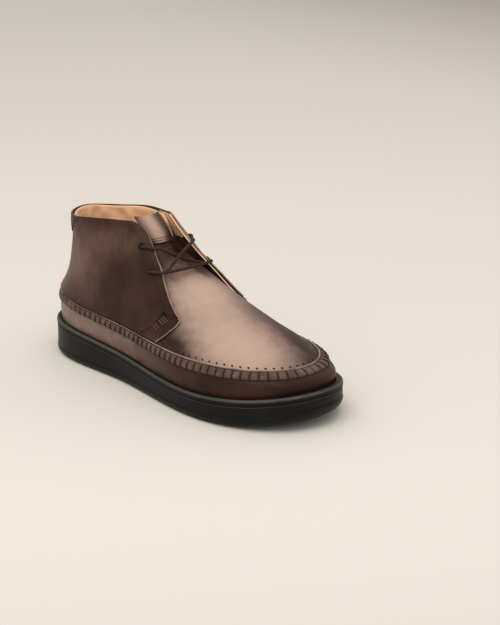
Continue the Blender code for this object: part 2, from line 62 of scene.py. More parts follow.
# Walls, seams and running clearances
UPPER_WALL = 0.0019
QUARTER_WALL = 0.0019
TONGUE_WALL = 0.0016
PULL_TAB_WALL = 0.0014
GAP = 0.00035
RIDGE_RAISE = 0.0013
MARGIN = 0.009

# Cupsole
CUP_DEPTH = 0.0093
RIM_WIDTH = 0.0026
RIM_SHOWN = 0.0045
GROOVE_WIDTH = 0.0012
GROOVE_DEPTH = 0.0008
SIDE_FLARE = 0.0014
FOOT_BEVEL = 0.0034
TOE_BUMPER = 0.0024
TOE_SPRING = 0.008
SPRING_START = 0.756

# Insole, pull tab, lace and its holes
INSOLE_THICKNESS = 0.0045
PULL_TAB_WIDTH = 0.0832
LACE_DIAMETER = 0.0026
LACE_CLEARANCE = 0.0006
EYELET_HOLE = 0.0046
BACK_SEAM = 0.0005

AROUND_STEPS = 64

# Where the outline's half widths are given, as shares of each ring's own length
STATIONS = (0.14, 0.40, 0.70)

# Rings of the last. Lengths along the foot and end radii are shares of LAST_LENGTH. The heel's
# half width is a share of HEEL_WIDTH, and the waist's, the ball's and the lean towards the
# inner side are shares of BALL_WIDTH. Heights above the rim are shares of SHAFT_HEIGHT.
RING_COLUMNS = (
    "back", "front", "back_round", "front_round", "heel", "waist", "ball", "lean",
    "z_back", "z_heel", "z_waist", "z_ball", "z_front",
)
RINGS = (
    # cup floor
    (0.006, 0.994, 0.118, 0.142, 0.474, 0.368, 0.503, 0.0, -0.093, -0.093, -0.093, -0.093, -0.093),
    # feather edge, level with the rim
    (0.003, 1.000, 0.121, 0.145, 0.487, 0.372, 0.514, 0.0, 0.0, 0.0, 0.0, 0.0, 0.0),
    # middle of the side wall
    (0.003, 0.993, 0.118, 0.145, 0.500, 0.379, 0.520, 0.0, 0.127, 0.119, 0.114, 0.114, 0.073),
    # apron seam
    (0.012, 0.946, 0.111, 0.139, 0.494, 0.365, 0.484, 0.0, 0.270, 0.235, 0.234, 0.244, 0.124),
    (0.031, 0.892, 0.104, 0.114, 0.437, 0.333, 0.393, 0.0, 0.378, 0.337, 0.356, 0.358, 0.218),
    (0.050, 0.800, 0.098, 0.098, 0.392, 0.303, 0.310, 0.004, 0.513, 0.477, 0.508, 0.482, 0.344),
    (0.060, 0.687, 0.091, 0.091, 0.363, 0.284, 0.262, 0.007, 0.648, 0.627, 0.663, 0.632, 0.518),
    (0.066, 0.578, 0.088, 0.084, 0.335, 0.280, 0.238, 0.012, 0.782, 0.777, 0.812, 0.782, 0.699),
    (0.067, 0.481, 0.085, 0.077, 0.322, 0.279, 0.233, 0.014, 0.896, 0.892, 0.938, 0.927, 0.850),
    # collar
    (0.064, 0.408, 0.075, 0.074, 0.290, 0.280, 0.229, 0.015, 0.988, 0.974, 1.067, 1.130, 1.020),
)
FEATHER_RING = 1
COLLAR_RING = 9

# The last's centre line bends to the inner side: places are shares of LAST_LENGTH, and
# bends are shares of BALL_WIDTH.
BEND_PLACES = (0.0, 0.353, 0.672, 1.01)
BENDS = (0.0, -0.0235, 0.017, 0.070)

# The instep under the facings lies behind and below the last's rings. The shifts are shares of
# LAST_LENGTH backwards and of SHAFT_HEIGHT downwards, at a ring number.
THROAT_COLUMNS = ("ring", "backwards", "down")
THROAT = (
    (5.0, 0.0, 0.0),
    (6.0, 0.009, 0.026),
    (6.5, 0.024, 0.047),
    (7.0, 0.040, 0.088),
    (7.5, 0.044, 0.114),
    (8.0, 0.035, 0.109),
    (8.5, 0.031, 0.078),
    (9.0, 0.052, 0.0),
)
THROAT_FLAT = 0.06
THROAT_REACH = 0.17

# Ring numbers of the upper's top edge, at the collar and in the throat's dip, and how far from
# the middle that dip begins and ends
UPPER_TOP = 8.93
THROAT_TOP = 8.58
THROAT_TOP_FROM = 0.105
THROAT_TOP_TO = 0.160

# Front edge of each quarter: ring number, and how far around it lies. It runs up from the seam
# to a corner, and on from the corner up the facing to the collar.
QUARTER_FRONT = ((3.14, 0.280), (3.5, 0.289), (4.05, 0.302), (4.8, 0.326))
FACING = (
    (4.8, 0.326), (5.4, 0.328), (6.05, 0.340), (6.75, 0.360), (7.3, 0.380), (7.65, 0.391),
    (7.95, 0.402), (8.3, 0.410), (8.6, 0.412), (8.8, 0.405), (8.92, 0.394), (9.0, 0.378),
)
QUARTER_CORNER = 4.8
QUARTER_FOOT = 3.14
QUARTER_TOP = 9.0

# The facings stand off the instep, to leave room for the lace: shares of the whole lift, by
# the way back from the facing's edge, and by ring number.
LIFT_BACK = ((0.0, 0.35), (0.012, 0.78), (0.026, 1.0), (0.05, 0.62), (0.085, 0.0))
LIFT_UP = ((3.0, 0.0), (4.8, 0.22), (5.5, 0.65), (6.3, 1.0), (8.1, 1.0), (8.6, 0.55), (9.0, 0.2))

# Eyelets as (around, ring) on the outer quarter; the inner quarter mirrors them
UPPER_EYELET = (0.374, 8.05)
LOWER_EYELET = (0.338, 6.85)

# The lace's way from the middle of a hole past the facing's edge, as shares of the way to that
# edge, of the leg's rise in ring number and of its height off the facing
LACE_LEG_COLUMNS = ("forward", "rise", "height")
LACE_LEG = ((0.0, 0.0, 0.0), (0.1, 0.1, 0.95), (0.5, 0.5, 1.0), (1.0, 1.0, 1.0), (1.35, 1.2, 1.0))
LACE_RISE = 0.12

# Tongue tip: its lower edge laps the upper's top edge
TONGUE_FOOT = 8.42
TONGUE_TOP = 9.03
TONGUE_HALF_LOW = 0.058
TONGUE_HALF_TOP = 0.070

# Pull tab at the back of the collar: ring number, and the share of PULL_TAB_WIDTH there
PULL_TAB_ROW_COLUMNS = ("ring", "width")
PULL_TAB_ROWS = (
    (7.3, 0.65), (7.6, 0.71), (7.95, 0.78), (8.4, 0.86), (8.8, 0.96), (9.12, 1.0),
)

# Sampling of the dressed surfaces
STITCH_PITCH = 0.0068
STEPS_PER_STITCH = 10
SOLE_STEPS = 720
INSOLE_STEPS = 240
PANEL_COLUMNS = 150
PANEL_ROWS = 96
PANEL_SPACING = 0.00035
LINING_COLUMNS = 40
STRIP_ROWS = 50
STRIP_SPACING = 0.0003
TONGUE_COLUMNS = 56
PULL_TAB_COLUMNS = 120
CROWDING = 0.8
TUBE_SIDES = 14
THREAD_SIDES = 6
HOLE_SIDES = 28
LACE_STEP = 0.0004

# Hand-sewn seam: ring numbers of the puffed band, the ridge over it and the pinholes, with their
# half widths in ring numbers and their heights or depths in metres
BAND_FOOT = 2.43
BAND_TOP = 2.935
BAND_MIDDLE = 2.7
RIDGE_RING = 3.005
RIDGE_HALF = 0.055
PINHOLE_RING = 3.20
PINHOLE_HALF = 0.065
PINHOLE_DIP = 0.0006
PUFF_RAISE = 0.0016
BAND_RAISE = 0.0003
GROOVE_RING = 2.40
GROOVE_HALF = 0.035
GROOVE_DIP = 0.0004
VALLEY_RING = 3.10
VALLEY_HALF = 0.05
VALLEY_DIP = 0.00025
THREAD_RADIUS = 0.00062
SEAM_LINE_RADIUS = 0.00034

# Facing linings and the edges of the thin pieces, in metres. The reach is a value of around,
# the feet and tops are ring numbers, and the rise is a share of the leather's flare.
LINING_WALL = 0.0011
LINING_FROM = 0.112
LINING_CLEAR = 0.0002
LINING_PEEK = 0.0009
LINING_REACH = 0.075
LINING_RISE = 0.6
LINING_ROUND = 0.0004
LINING_TOP = 8.97
INNER_LINING_FOOT = 4.6
OUTER_LINING_FOOT = 5.05
LEATHER_FROM = 0.0008
EDGE_ROUND = 0.0007
STRIP_ROUND = 0.0005
EYELET_LIFT = 0.5
PUNCH_LENGTH = 0.016
PULL_TAB_TOP = 8.97
PULL_TAB_SINK = 0.0006
TONGUE_CURL = 0.0008

# Rows of the upper: its rings up to above the pinholes, shares of the way from there to its top
# edge, and then the same down its inner face
OUTER_RINGS = (
    1.0, 1.12, 1.25, 1.4, 1.55, 1.7, 1.85, 2.0, 2.12, 2.22, 2.30, 2.35, 2.375, 2.40, 2.42, 2.43,
    2.445, 2.47, 2.51, 2.56, 2.62, 2.68, 2.74, 2.80, 2.85, 2.89, 2.915, 2.935, 2.95, 2.965, 2.985,
    3.005, 3.025, 3.045, 3.06, 3.08, 3.10, 3.13, 3.16, 3.18, 3.20, 3.22, 3.25, 3.30, 3.36,
)
OUTER_SHARES = (
    0.02, 0.045, 0.075, 0.11, 0.15, 0.19, 0.235, 0.28, 0.33, 0.38, 0.43, 0.48, 0.53, 0.58, 0.63,
    0.68, 0.73, 0.78, 0.83, 0.87, 0.91, 0.945, 0.97, 0.985, 0.995, 1.0,
)
INNER_SHARES = (1.0, 0.985, 0.95, 0.9, 0.84, 0.78, 0.70, 0.62, 0.54, 0.46, 0.36, 0.26, 0.16, 0.06)
INNER_RINGS = (3.2, 2.6, 2.0, 1.5, 1.15)
ROUNDED_SHARE = 0.985
EDGE_SHARE = 0.97
RIDGE_RINGS = (2.96, 3.04)
UNDER_QUARTER = 0.13

# Soft spots of pale or dark leather, partly the leather's own pull-up tone and partly painted sheen and
# painted shade: centre and reach in millimetres on the last, and strength
VAMP_TONE_SHEEN_SHADE = (
    (238, -22, 54, 66, 36, 40, 1.0),
    (176, -6, 88, 36, 30, 26, 0.80),
    (186, -52, 48, 26, 14, 18, -0.50),
    (262, 32, 44, 70, 14, 26, -0.26),
    (302, 0, 34, 20, 40, 16, -0.22),
)
QUARTER_TONE_SHEEN_SHADE = (
    (6, -34, 60, 20, 18, 60, 1.0),
    (48, -34, 88, 34, 24, 26, 0.60),
    (95, -28, 114, 40, 20, 14, 0.34),
    (80, -40, 60, 34, 14, 12, 0.22),
    (110, -44, 60, 30, 14, 30, -0.25),
    (158, -52, 42, 16, 12, 12, 0.12),
)
# Tone of the seam's band, and of the wall below it by the way along the foot: painted sheen pale at the
# heel, darker towards the toe
BAND_TONE = 0.25
WALL_X = (0.0, 0.06, 0.12, 0.17, 0.22, 0.31)
WALL_SHEEN_TONE = (0.50, 0.48, 0.38, 0.14, -0.05, -0.30)

# Creases of the vamp under the lace: ring, around, their half sizes, and height in metres
VAMP_FOLDS = (
    (7.9, 0.50, 0.09, 0.10, 0.0009),
    (8.12, 0.49, 0.08, 0.09, -0.0007),
    (7.62, 0.50, 0.10, 0.12, -0.0006),
    (7.35, 0.52, 0.09, 0.12, 0.0005),
    (5.9, 0.62, 0.05, 0.7, -0.0006),
)

# The corner patch: its top line and its back line as (around, ring), its raised line and crease
# in metres, and the rough size of a unit of around and of ring in millimetres
PATCH_TOP = ((0.326, 4.93), (0.300, 4.865))
PATCH_BACK = ((0.300, 4.865), (0.257, 3.3))
PATCH_RAISE = 0.0006
PATCH_CREASE = 0.0007
MM_AROUND = 870.0
MM_RING = 14.5
# Stitches on the corner patch as (around, ring) from end to end, and how thick and arched
PATCH_STITCH_RADIUS = 0.00055
PATCH_STITCH_ARCH = 0.0004
PATCH_STITCH_SINK = 0.0001
PATCH_STITCHES = (
    ((0.2975, 4.70), (0.3035, 4.52)),
    ((0.2925, 4.56), (0.2985, 4.38)),
    ((0.2875, 4.42), (0.2935, 4.24)),
    ((0.2805, 4.16), (0.2865, 3.98)),
    ((0.2765, 4.02), (0.2825, 3.84)),
)
# Fine stitches of the tongue: their rows, half the row's length, pitch and length by around,
# and their thickness, arch and sink in metres
TONGUE_STITCH_ROWS = (8.475, 8.53)
TONGUE_STITCH_HALF_ROW = 0.052
TONGUE_STITCH_PITCH = 0.0062
TONGUE_STITCH_LENGTH = 0.0042
TONGUE_STITCH_RADIUS = 0.00028
TONGUE_STITCH_ARCH = 0.00018
TONGUE_STITCH_SINK = 0.00004
# Soft waves of the quarters: around, ring, their half sizes, and height in metres
QUARTER_WAVES = (
    (0.150, 6.2, 0.022, 2.6, 0.0006),
    (0.195, 6.0, 0.030, 2.8, -0.0005),
    (0.27, 6.6, 0.05, 1.6, -0.0004),
    (0.31, 7.4, 0.04, 1.2, 0.0004),
)

# How far the inner facing's leather stands off at its edge: rings and metres, and how far back
# from the edge that fades out
FLARE_RINGS = (4.5, 4.8, 5.1, 5.45, 5.8, 6.1, 6.45, 6.8, 7.3, 8.0, 8.6, 9.0, 9.3)
FLARE_RAISES = (
    0.0, 0.0022, 0.0042, 0.0048, 0.0048, 0.0043, 0.0034, 0.0022, 0.0010, 0.0010, 0.0012, 0.0016, 0.0
)
FLARE_REACH = 0.034

# Painted shade round the eyelets, as near-black rims: radius, and height off the leather, of each of
# their circles
EYELET_RIM = ((0.0021, -0.0002), (0.0024, 0.0002), (0.0030, 0.00022), (0.0033, -0.0002))
EYELET_RIM_SIDES = 24
EYELET_RIM_STRETCH = 1.15

# Rings of a seam stitch from the ridge to the band's foot, and the dark lines of painted shade in
# the seam's creases as ring and height
STITCH_RINGS = (2.965, 2.945, 2.92, 2.86, 2.72, 2.58, 2.47, 2.43, 2.405)
SEAM_SHADE_LINES = ((2.938, 0.0), (2.415, -0.0001))
PINHOLE_RADIUS = 0.00098
PINHOLE_LIFT = 0.00008
PINHOLE_PIT = 0.0003
PINHOLE_SIDES = 10

# Side of the cupsole: the wall's tuck under the rim, the rounder foot edge at the toe, and the
# herringbone tread
SIDE_TUCK = 0.0005
TOE_BEVEL = 0.0078
TREAD_DEPTH = 0.0011
TREAD_PITCH = 0.0062
TREAD_COLUMNS = 44
TREAD_ZIG = 0.006
TREAD_ZIG_WIDTH = 0.018
TREAD_MARGIN = 0.009
TREAD_FADE = 0.003
SIDE_CREASE = 0.0004
# Levels of the sole's outlines whose faces carry a painted highlight: the rim's top outer edge and a
# line under the groove
PAINTED_HIGHLIGHT_LEVELS = (20, 28, 29, 30)

# Floor, lights, and the photograph's camera in the last's own frame
# Floor colours with painted light falloff: darker towards the front, further back and most to the right
FLOOR_FRONT = (0.71, 0.68, 0.615)
FLOOR_NEAR = (0.85, 0.81, 0.745)
FLOOR_FAR = (0.80, 0.77, 0.69)
FLOOR_RIGHT_SHADE = (0.38, 0.345, 0.29)
FLOOR_ALONG = 0.685
FLOOR_ACROSS = 0.73
FLOOR_HALF = 9
FLOOR_DROP = 0.00005
DAYLIGHT = 0.68
SOFTBOX_PLACE = (0.45, -0.80, 2.0)
SOFTBOX_TARGET = (0.0, 0.0, 0.05)
SOFTBOX_SIZE = (2.0, 2.0)
SOFTBOX_WATTS = 23
CAMERA_PLACE = (1.04006, -0.76405, 0.43905)
CAMERA_TARGET = (0.05553, 0.16058, 0.0)
CAMERA_LENS = 86.4
CAMERA_SENSOR = 36.0


def cubic(knots, values, at, start=None, end=None):
    """Cubic spline through the values, with given end slopes, or free ends for None."""
    knots = np.asarray(knots, float)
    values = np.asarray(values, float)
    count = len(knots)
    step = np.diff(knots)
    left = np.zeros((count, count))
    right = np.zeros((count,) + values.shape[1:])
    rise = np.diff(values, axis=0) / step.reshape((-1,) + (1,) * (values.ndim - 1))
    for row in range(1, count - 1):
        left[row, row - 1 : row + 2] = step[row - 1], 2 * (step[row - 1] + step[row]), step[row]
        right[row] = 6 * (rise[row] - rise[row - 1])
    left[0, 0] = left[-1, -1] = 1.0
    if start is not None:
        left[0, :2] = 2 * step[0], step[0]
        right[0] = 6 * (rise[0] - start)
    if end is not None:
        left[-1, -2:] = step[-1], 2 * step[-1]
        right[-1] = 6 * (end - rise[-1])
    bend = np.linalg.solve(left, right.reshape(count, -1)).reshape(right.shape)
    at = np.asarray(at, float)
    span = np.clip(np.searchsorted(knots, at, side="right") - 1, 0, count - 2)
    width = step[span]
    before = (knots[span + 1] - at) / width
    after = (at - knots[span]) / width
    if values.ndim > 1:
        width, before, after = width[..., None], before[..., None], after[..., None]
    curve = (before**3 - before) * bend[span] + (after**3 - after) * bend[span + 1]
    return before * values[span] + after * values[span + 1] + curve * width**2 / 6


def named(columns, table):
    """The table's rows as dictionaries by column name."""
    return [dict(zip(columns, row)) for row in table]


def centre_line(x):
    """How far the last's centre line lies towards the inner side, at x."""
    places = np.array(BEND_PLACES) * LAST_LENGTH
    return cubic(places, np.array(BENDS) * BALL_WIDTH, np.clip(x, places[0], places[-1]))


RIM_HEIGHTS = (RIM_AT_BACK, RIM_AT_HEEL, RIM_AT_WAIST, RIM_AT_BALL, RIM_AT_TIP)
TURNS = np.array([0.0] + [math.acos(1 - 2 * share) for share in STATIONS] + [math.pi])


def sized_ring(row):
    """A ring of the table in metres: ends, end radii, half widths, lean and heights."""
    heights = [row[key] for key in ("z_back", "z_heel", "z_waist", "z_ball", "z_front")]
    return {
        "back": row["back"] * LAST_LENGTH,
        "front": row["front"] * LAST_LENGTH,
        "rounds": np.array([row["back_round"], row["front_round"]]) * LAST_LENGTH,
        "halves": np.array(
            [row["heel"] * HEEL_WIDTH, row["waist"] * BALL_WIDTH, row["ball"] * BALL_WIDTH]
        ),
        "lean": row["lean"] * BALL_WIDTH,
        "heights": np.array(RIM_HEIGHTS) + np.array(heights) * SHAFT_HEIGHT,
    }


LAST_RINGS = [sized_ring(row) for row in named(RING_COLUMNS, RINGS)]


def grown(ring, outward, upward=0.0, forward=0.0):
    """The ring's outline moved outward all round, upward, and at its front also forward."""
    return {
        "back": ring["back"] - outward,
        "front": ring["front"] + outward + forward,
        "rounds": ring["rounds"] + outward,
        "halves": ring["halves"] + outward,
        "lean": ring["lean"],
        "heights": ring["heights"] + upward,
    }


def outline(ring, around):
    """Points of a ring, at each value of around."""
    around = np.asarray(around, float) % 1.0
    outer = around <= 0.5
    turn = np.where(outer, around, 1 - around) * 2 * math.pi
    length = ring["front"] - ring["back"]
    slopes = np.sqrt(ring["rounds"] * length / 2)
    half = cubic(TURNS, [0.0, *ring["halves"], 0.0], turn, slopes[0], -slopes[1])
    share = (1 - np.cos(turn)) / 2
    x = ring["back"] + length * share
    y = centre_line(x) + ring["lean"] * share + np.where(outer, -half, half)
    z = cubic(TURNS, ring["heights"], turn, 0.0, 0.0)
    return np.stack([x, y, z], axis=-1)


def last_point(around, ring):
    """A place on the last, from a smooth curve through its rings."""
    around, ring = np.broadcast_arrays(np.asarray(around, float), np.asarray(ring, float))
    flat_around, flat_ring = around.ravel(), ring.ravel()
    points = np.array([outline(each, flat_around) for each in LAST_RINGS])
    numbers = np.arange(len(LAST_RINGS))
    coarse = points.reshape(len(numbers), -1)
    count = len(numbers)
    left = np.eye(count)
    right = np.zeros_like(coarse)
    for row in range(1, count - 1):
        left[row, row - 1 : row + 2] = 1.0, 4.0, 1.0
        right[row] = 6 * (coarse[row + 1] - 2 * coarse[row] + coarse[row - 1])
    bend = np.linalg.solve(left, right).reshape(points.shape)
    span = np.clip(np.floor(flat_ring).astype(int), 0, count - 2)
    each = np.arange(len(flat_around))
    before = (span + 1 - flat_ring)[:, None]
    after = (flat_ring - span)[:, None]
    curve = (before**3 - before) * bend[span, each] + (after**3 - after) * bend[span + 1, each]
    smooth = before * points[span, each] + after * points[span + 1, each] + curve / 6
    return smooth.reshape(around.shape + (3,))


def eased(share):
    """0 to 1 with soft ends."""
    share = np.clip(share, 0.0, 1.0)
    return share * share * (3 - 2 * share)


def upper_point(around, ring):
    """The last's surface with the instep set back under the facings."""
    points = last_point(around, ring)
    rows = named(THROAT_COLUMNS, THROAT)
    numbers = [row["ring"] for row in rows]
    shifts = [
        (-row["backwards"] * LAST_LENGTH, 0.0, -row["down"] * SHAFT_HEIGHT) for row in rows
    ]
    ring = np.broadcast_to(ring, points.shape[:-1])
    shift = cubic(numbers, shifts, np.maximum(ring, numbers[0]))
    from_middle = np.abs(np.asarray(around) % 1.0 - 0.5)
    weight = eased((THROAT_REACH - from_middle) / (THROAT_REACH - THROAT_FLAT))
    return points + shift * np.broadcast_to(weight, ring.shape)[..., None]


def raised(surface, around, ring, outward):
    """Points of a surface, moved outward along its normal."""
    tiny = 1e-4
    along = surface(around + tiny, ring) - surface(around - tiny, ring)
    up = surface(around, ring + tiny) - surface(around, ring - tiny)
    normal = np.cross(along, up)
    normal /= np.linalg.norm(normal, axis=-1, keepdims=True)
    return surface(around, ring) + normal * np.asarray(outward)[..., None]


def upper_face(around, ring, outward):
    """Points off the upper's smooth face."""
    return raised(upper_point, around, ring, outward)


def last_face(around, ring, outward):
    """Points off the last."""
    return raised(last_point, around, ring, outward)


def facing_edge(ring):
    """How far around a quarter reaches forward, at each ring number."""
    low, high = np.array(QUARTER_FRONT), np.array(FACING)
    below = np.interp(ring, low[:, 0], low[:, 1])
    above = cubic(high[:, 0], high[:, 1], np.maximum(ring, QUARTER_CORNER))
    return np.where(ring < QUARTER_CORNER, below, above)


def facing_lift(around, ring):
    """How far a quarter stands off the last, at a place on the outer side."""
    back, up = np.array(LIFT_BACK), np.array(LIFT_UP)
    behind = np.maximum(facing_edge(ring) - around, 0.0)
    shape = np.interp(behind, back[:, 0], back[:, 1]) * np.interp(ring, up[:, 0], up[:, 1])
    return shape * (LACE_DIAMETER + 2 * LACE_CLEARANCE)


def quarter_point(around, ring, outward=0.0):
    """A place on a quarter's inner face, or outward of it, on either side."""
    around, ring = np.broadcast_arrays(np.asarray(around, float), np.asarray(ring, float))
    mirrored = np.where(around > 0.5, 1 - around, around)
    return raised(last_point, around, ring, GAP + facing_lift(mirrored, ring) + outward)


def sole_underside(x):
    """Height of the underside above the floor: flat, then the toe's spring."""
    start = SPRING_START * LAST_LENGTH
    share = np.clip((x - start) / (LAST_LENGTH - start), 0.0, None)
    return TOE_SPRING * share**2


def cup_floor(x):
    """Height of the cup's floor at x. It follows the rim."""
    feather = LAST_RINGS[FEATHER_RING]
    share = (x - feather["back"]) / (feather["front"] - feather["back"])
    turn = np.arccos(1 - 2 * np.clip(share, 0.0, 1.0))
    return cubic(TURNS, RIM_HEIGHTS, turn, 0.0, 0.0) - CUP_DEPTH


def floor_outline(around, inset, height):
    """The last's outline on the cup's floor, inset, and at a height above that floor."""
    points = outline(grown(LAST_RINGS[0], -inset), around)
    points[:, 2] = cup_floor(points[:, 0]) + height
    return points


def top_ring(around):
    """Ring number of the upper's top edge: the collar, and a dip at the throat."""
    from_middle = np.abs(around - 0.5)
    share = (from_middle - THROAT_TOP_FROM) / (THROAT_TOP_TO - THROAT_TOP_FROM)
    return THROAT_TOP + (UPPER_TOP - THROAT_TOP) * eased(share)


def on_side(around, inner_side):
    """A place of the outer side, or its mirror image on the inner side."""
    return 1 - around if inner_side else around


def quarter_frame(around, ring):
    """The middle of a quarter's wall at a place, and its outward direction."""
    inside = quarter_point(around, ring)
    outside = quarter_point(around, ring, QUARTER_WALL)
    return (inside + outside) / 2, (outside - inside) / np.linalg.norm(outside - inside)


def lace_leg(eyelet, inner_side, rise, height):
    """Stops from the middle of an eyelet's hole past its facing's edge, off one of its faces."""
    middle = QUARTER_WALL / 2
    reach = facing_edge(eyelet[1]) - eyelet[0]
    stops = []
    for leg in named(LACE_LEG_COLUMNS, LACE_LEG):
        around = eyelet[0] + leg["forward"] * reach
        ring = eyelet[1] + leg["rise"] * rise
        outward = middle + leg["height"] * (height - middle)
        stops.append(quarter_point(on_side(around, inner_side), ring, outward))
    return stops


def lace_points():
    """The lace's middle line, from the upper outer eyelet round to the upper inner one."""
    half = LACE_DIAMETER / 2
    over = QUARTER_WALL + LACE_CLEARANCE + half
    under = -LACE_CLEARANCE - half
    ends = [
        quarter_point(on_side(UPPER_EYELET[0], inner_side), UPPER_EYELET[1], under - half)
        for inner_side in (False, True)
    ]
    first = lace_leg(UPPER_EYELET, False, -LACE_RISE, over)
    first += reversed(lace_leg(LOWER_EYELET, True, LACE_RISE, under))
    bar = lace_leg(LOWER_EYELET, True, LACE_RISE / 3, over)
    bar += reversed(lace_leg(LOWER_EYELET, False, LACE_RISE / 3, over))
    last = lace_leg(LOWER_EYELET, False, LACE_RISE, under)
    last += reversed(lace_leg(UPPER_EYELET, True, -LACE_RISE, over))
    outward = sum(quarter_frame(place, UPPER_EYELET[1])[1] for place in (0.4, 0.6))
    outward /= np.linalg.norm(outward)
    half_legs = len(LACE_LEG)
    spread = (LACE_DIAMETER + 2 * LACE_CLEARANCE) / 2
    for strand, side in ((first, -1), (last, 1)):
        middle = (strand[half_legs - 1] + strand[half_legs]) / 2
        strand.insert(half_legs, middle + outward * side * spread)
    return np.array([ends[0], *first, *bar[1:-1], *last, ends[1]])


def smooth_route(points, spacing):
    """Even points along a smooth curve through the given ones."""
    lengths = np.linalg.norm(np.diff(points, axis=0), axis=1)
    marks = np.concatenate([[0.0], np.cumsum(np.sqrt(lengths))])
    dense = cubic(marks, points, np.linspace(0.0, marks[-1], 1200))
    walked = np.concatenate([[0.0], np.cumsum(np.linalg.norm(np.diff(dense, axis=0), axis=1))])
    stops = np.linspace(0.0, walked[-1], int(walked[-1] / spacing) + 1)
    return np.stack([np.interp(stops, walked, dense[:, axis]) for axis in range(3)], axis=1)


def sole_middle():
    """Middle of the cupsole's box, seen from above, which is the part's origin."""
    widest = grown(LAST_RINGS[FEATHER_RING], GAP + RIM_WIDTH + SIDE_FLARE, forward=TOE_BUMPER)
    points = outline(widest, np.arange(AROUND_STEPS) / AROUND_STEPS)
    return (points.min(axis=0) + points.max(axis=0)) / 2


MIDDLE = sole_middle()
ORIGIN = np.array([-MIDDLE[0], -MIDDLE[1], 0.0])


def bump(value, centre, half):
    """1 at the centre, falling smoothly to 0 at half to either side."""
    share = np.clip(np.abs(value - centre) / half, 0.0, 1.0)
    return (1 - share * share) ** 2


def add_mesh(name, points, faces, finishes, slots=None, angle=60, tone=None):
    """A piece from points on the last's own frame. slots has each face's material number."""
    mesh = bpy.data.meshes.new(name)
    points = np.asarray(points, float).reshape(-1, 3) + ORIGIN
    mesh.from_pydata(points.tolist(), [], [list(face) for face in faces])
    for finish in finishes:
        mesh.materials.append(finish)
    if slots is not None:
        mesh.polygons.foreach_set("material_index", np.asarray(slots, np.int32))
    shell = bmesh.new()
    shell.from_mesh(mesh)
    if shell.calc_volume(signed=True) < 0:
        bmesh.ops.reverse_faces(shell, faces=shell.faces)
    shell.to_mesh(mesh)
    shell.free()
    if tone is not None:
        layer = mesh.attributes.new("tone", "FLOAT", "POINT")
        layer.data.foreach_set("value", np.asarray(tone, np.float32).ravel())
    mesh.shade_smooth()
    mesh.set_sharp_from_angle(angle=math.radians(angle))
    made = bpy.data.objects.new(name, mesh)
    bpy.context.scene.collection.objects.link(made)
    return made


def dress(made, slot, *nodes):
    """Ties a piece to the body and to the nodes it stands for. slot is not used."""
    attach(made, "root")
    if nodes:
        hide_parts(*nodes)
    return made


def ring_faces(levels, steps, closed):
    """Quads between closed outlines, level by level."""
    level = np.arange(levels if closed else levels - 1)[:, None]
    step = np.arange(steps)[None, :]
    beside = (step + 1) % steps
    this, following = level * steps, (level + 1) % levels * steps
    quads = np.stack(np.broadcast_arrays(
        this + step, this + beside, following + beside, following + step), axis=-1)
    return quads.reshape(-1, 4)


def panel_mesh(
    name, surface, around, ring, low, high, finishes, edge_columns=2, tone=None, facing=False
):
    """A sheet of leather between two offsets of a surface, closed by its cut edges.

    finishes are for the outer face, the cut edge and the inner face. With facing, only the last
    column shows its cut edge."""
    rows, columns = around.shape
    outer = surface(around, ring, high)
    inner = surface(around, ring, low)
    count = rows * columns
    row, column = np.meshgrid(np.arange(rows - 1), np.arange(columns - 1), indexing="ij")
    first = row * columns + column
    quads = np.stack([first, first + 1, first + columns + 1, first + columns], -1).reshape(-1, 4)
    near_facing = column >= columns - 1 - edge_columns
    near_other = (row < edge_columns) | (row >= rows - 1 - edge_columns) | (column < edge_columns)
    near_edge = (near_facing if facing else near_facing | near_other).ravel()
    rim = np.concatenate([
        np.arange(columns), np.arange(1, rows) * columns + columns - 1,
        (rows - 1) * columns + np.arange(columns - 2, -1, -1),
        np.arange(rows - 2, 0, -1) * columns,
    ])
    following = np.roll(rim, -1)
    sides = np.stack([rim, rim + count, following + count, following], -1)
    faces = np.concatenate([quads, quads[:, ::-1] + count, sides])
    side_slots = np.ones(len(sides), int)
    if facing:
        side_slots[:columns - 1] = 0
        side_slots[columns + rows - 2:] = 0
    slots = np.concatenate([np.where(near_edge, 1, 0), np.full(len(quads), 2), side_slots])
    points = np.concatenate([outer.reshape(-1, 3), inner.reshape(-1, 3)])
    if tone is not None:
        tone = np.concatenate([np.ravel(tone), np.ravel(tone)])
    return add_mesh(name, points, faces, finishes, slots, 50, tone)


def edge_fall(rows, columns, spacing, radius):
    """How far a sheet's outer face drops at each grid point, to round its cut edge."""
    from_row = np.minimum(np.arange(rows), np.arange(rows)[::-1])[:, None]
    from_column = np.minimum(np.arange(columns), np.arange(columns)[::-1])[None, :]
    inward = np.clip(1 - np.minimum(from_row * spacing, from_column * spacing) / radius, 0.0, 1.0)
    return radius * (1 - np.sqrt(1 - inward * inward))


def crowded(count, power=0.75):
    """Shares from 0 to 1 that crowd towards both ends."""
    even = np.linspace(-1.0, 1.0, count)
    return (1 + np.sign(even) * (1 - (1 - np.abs(even)) ** (1 / power))) / 2


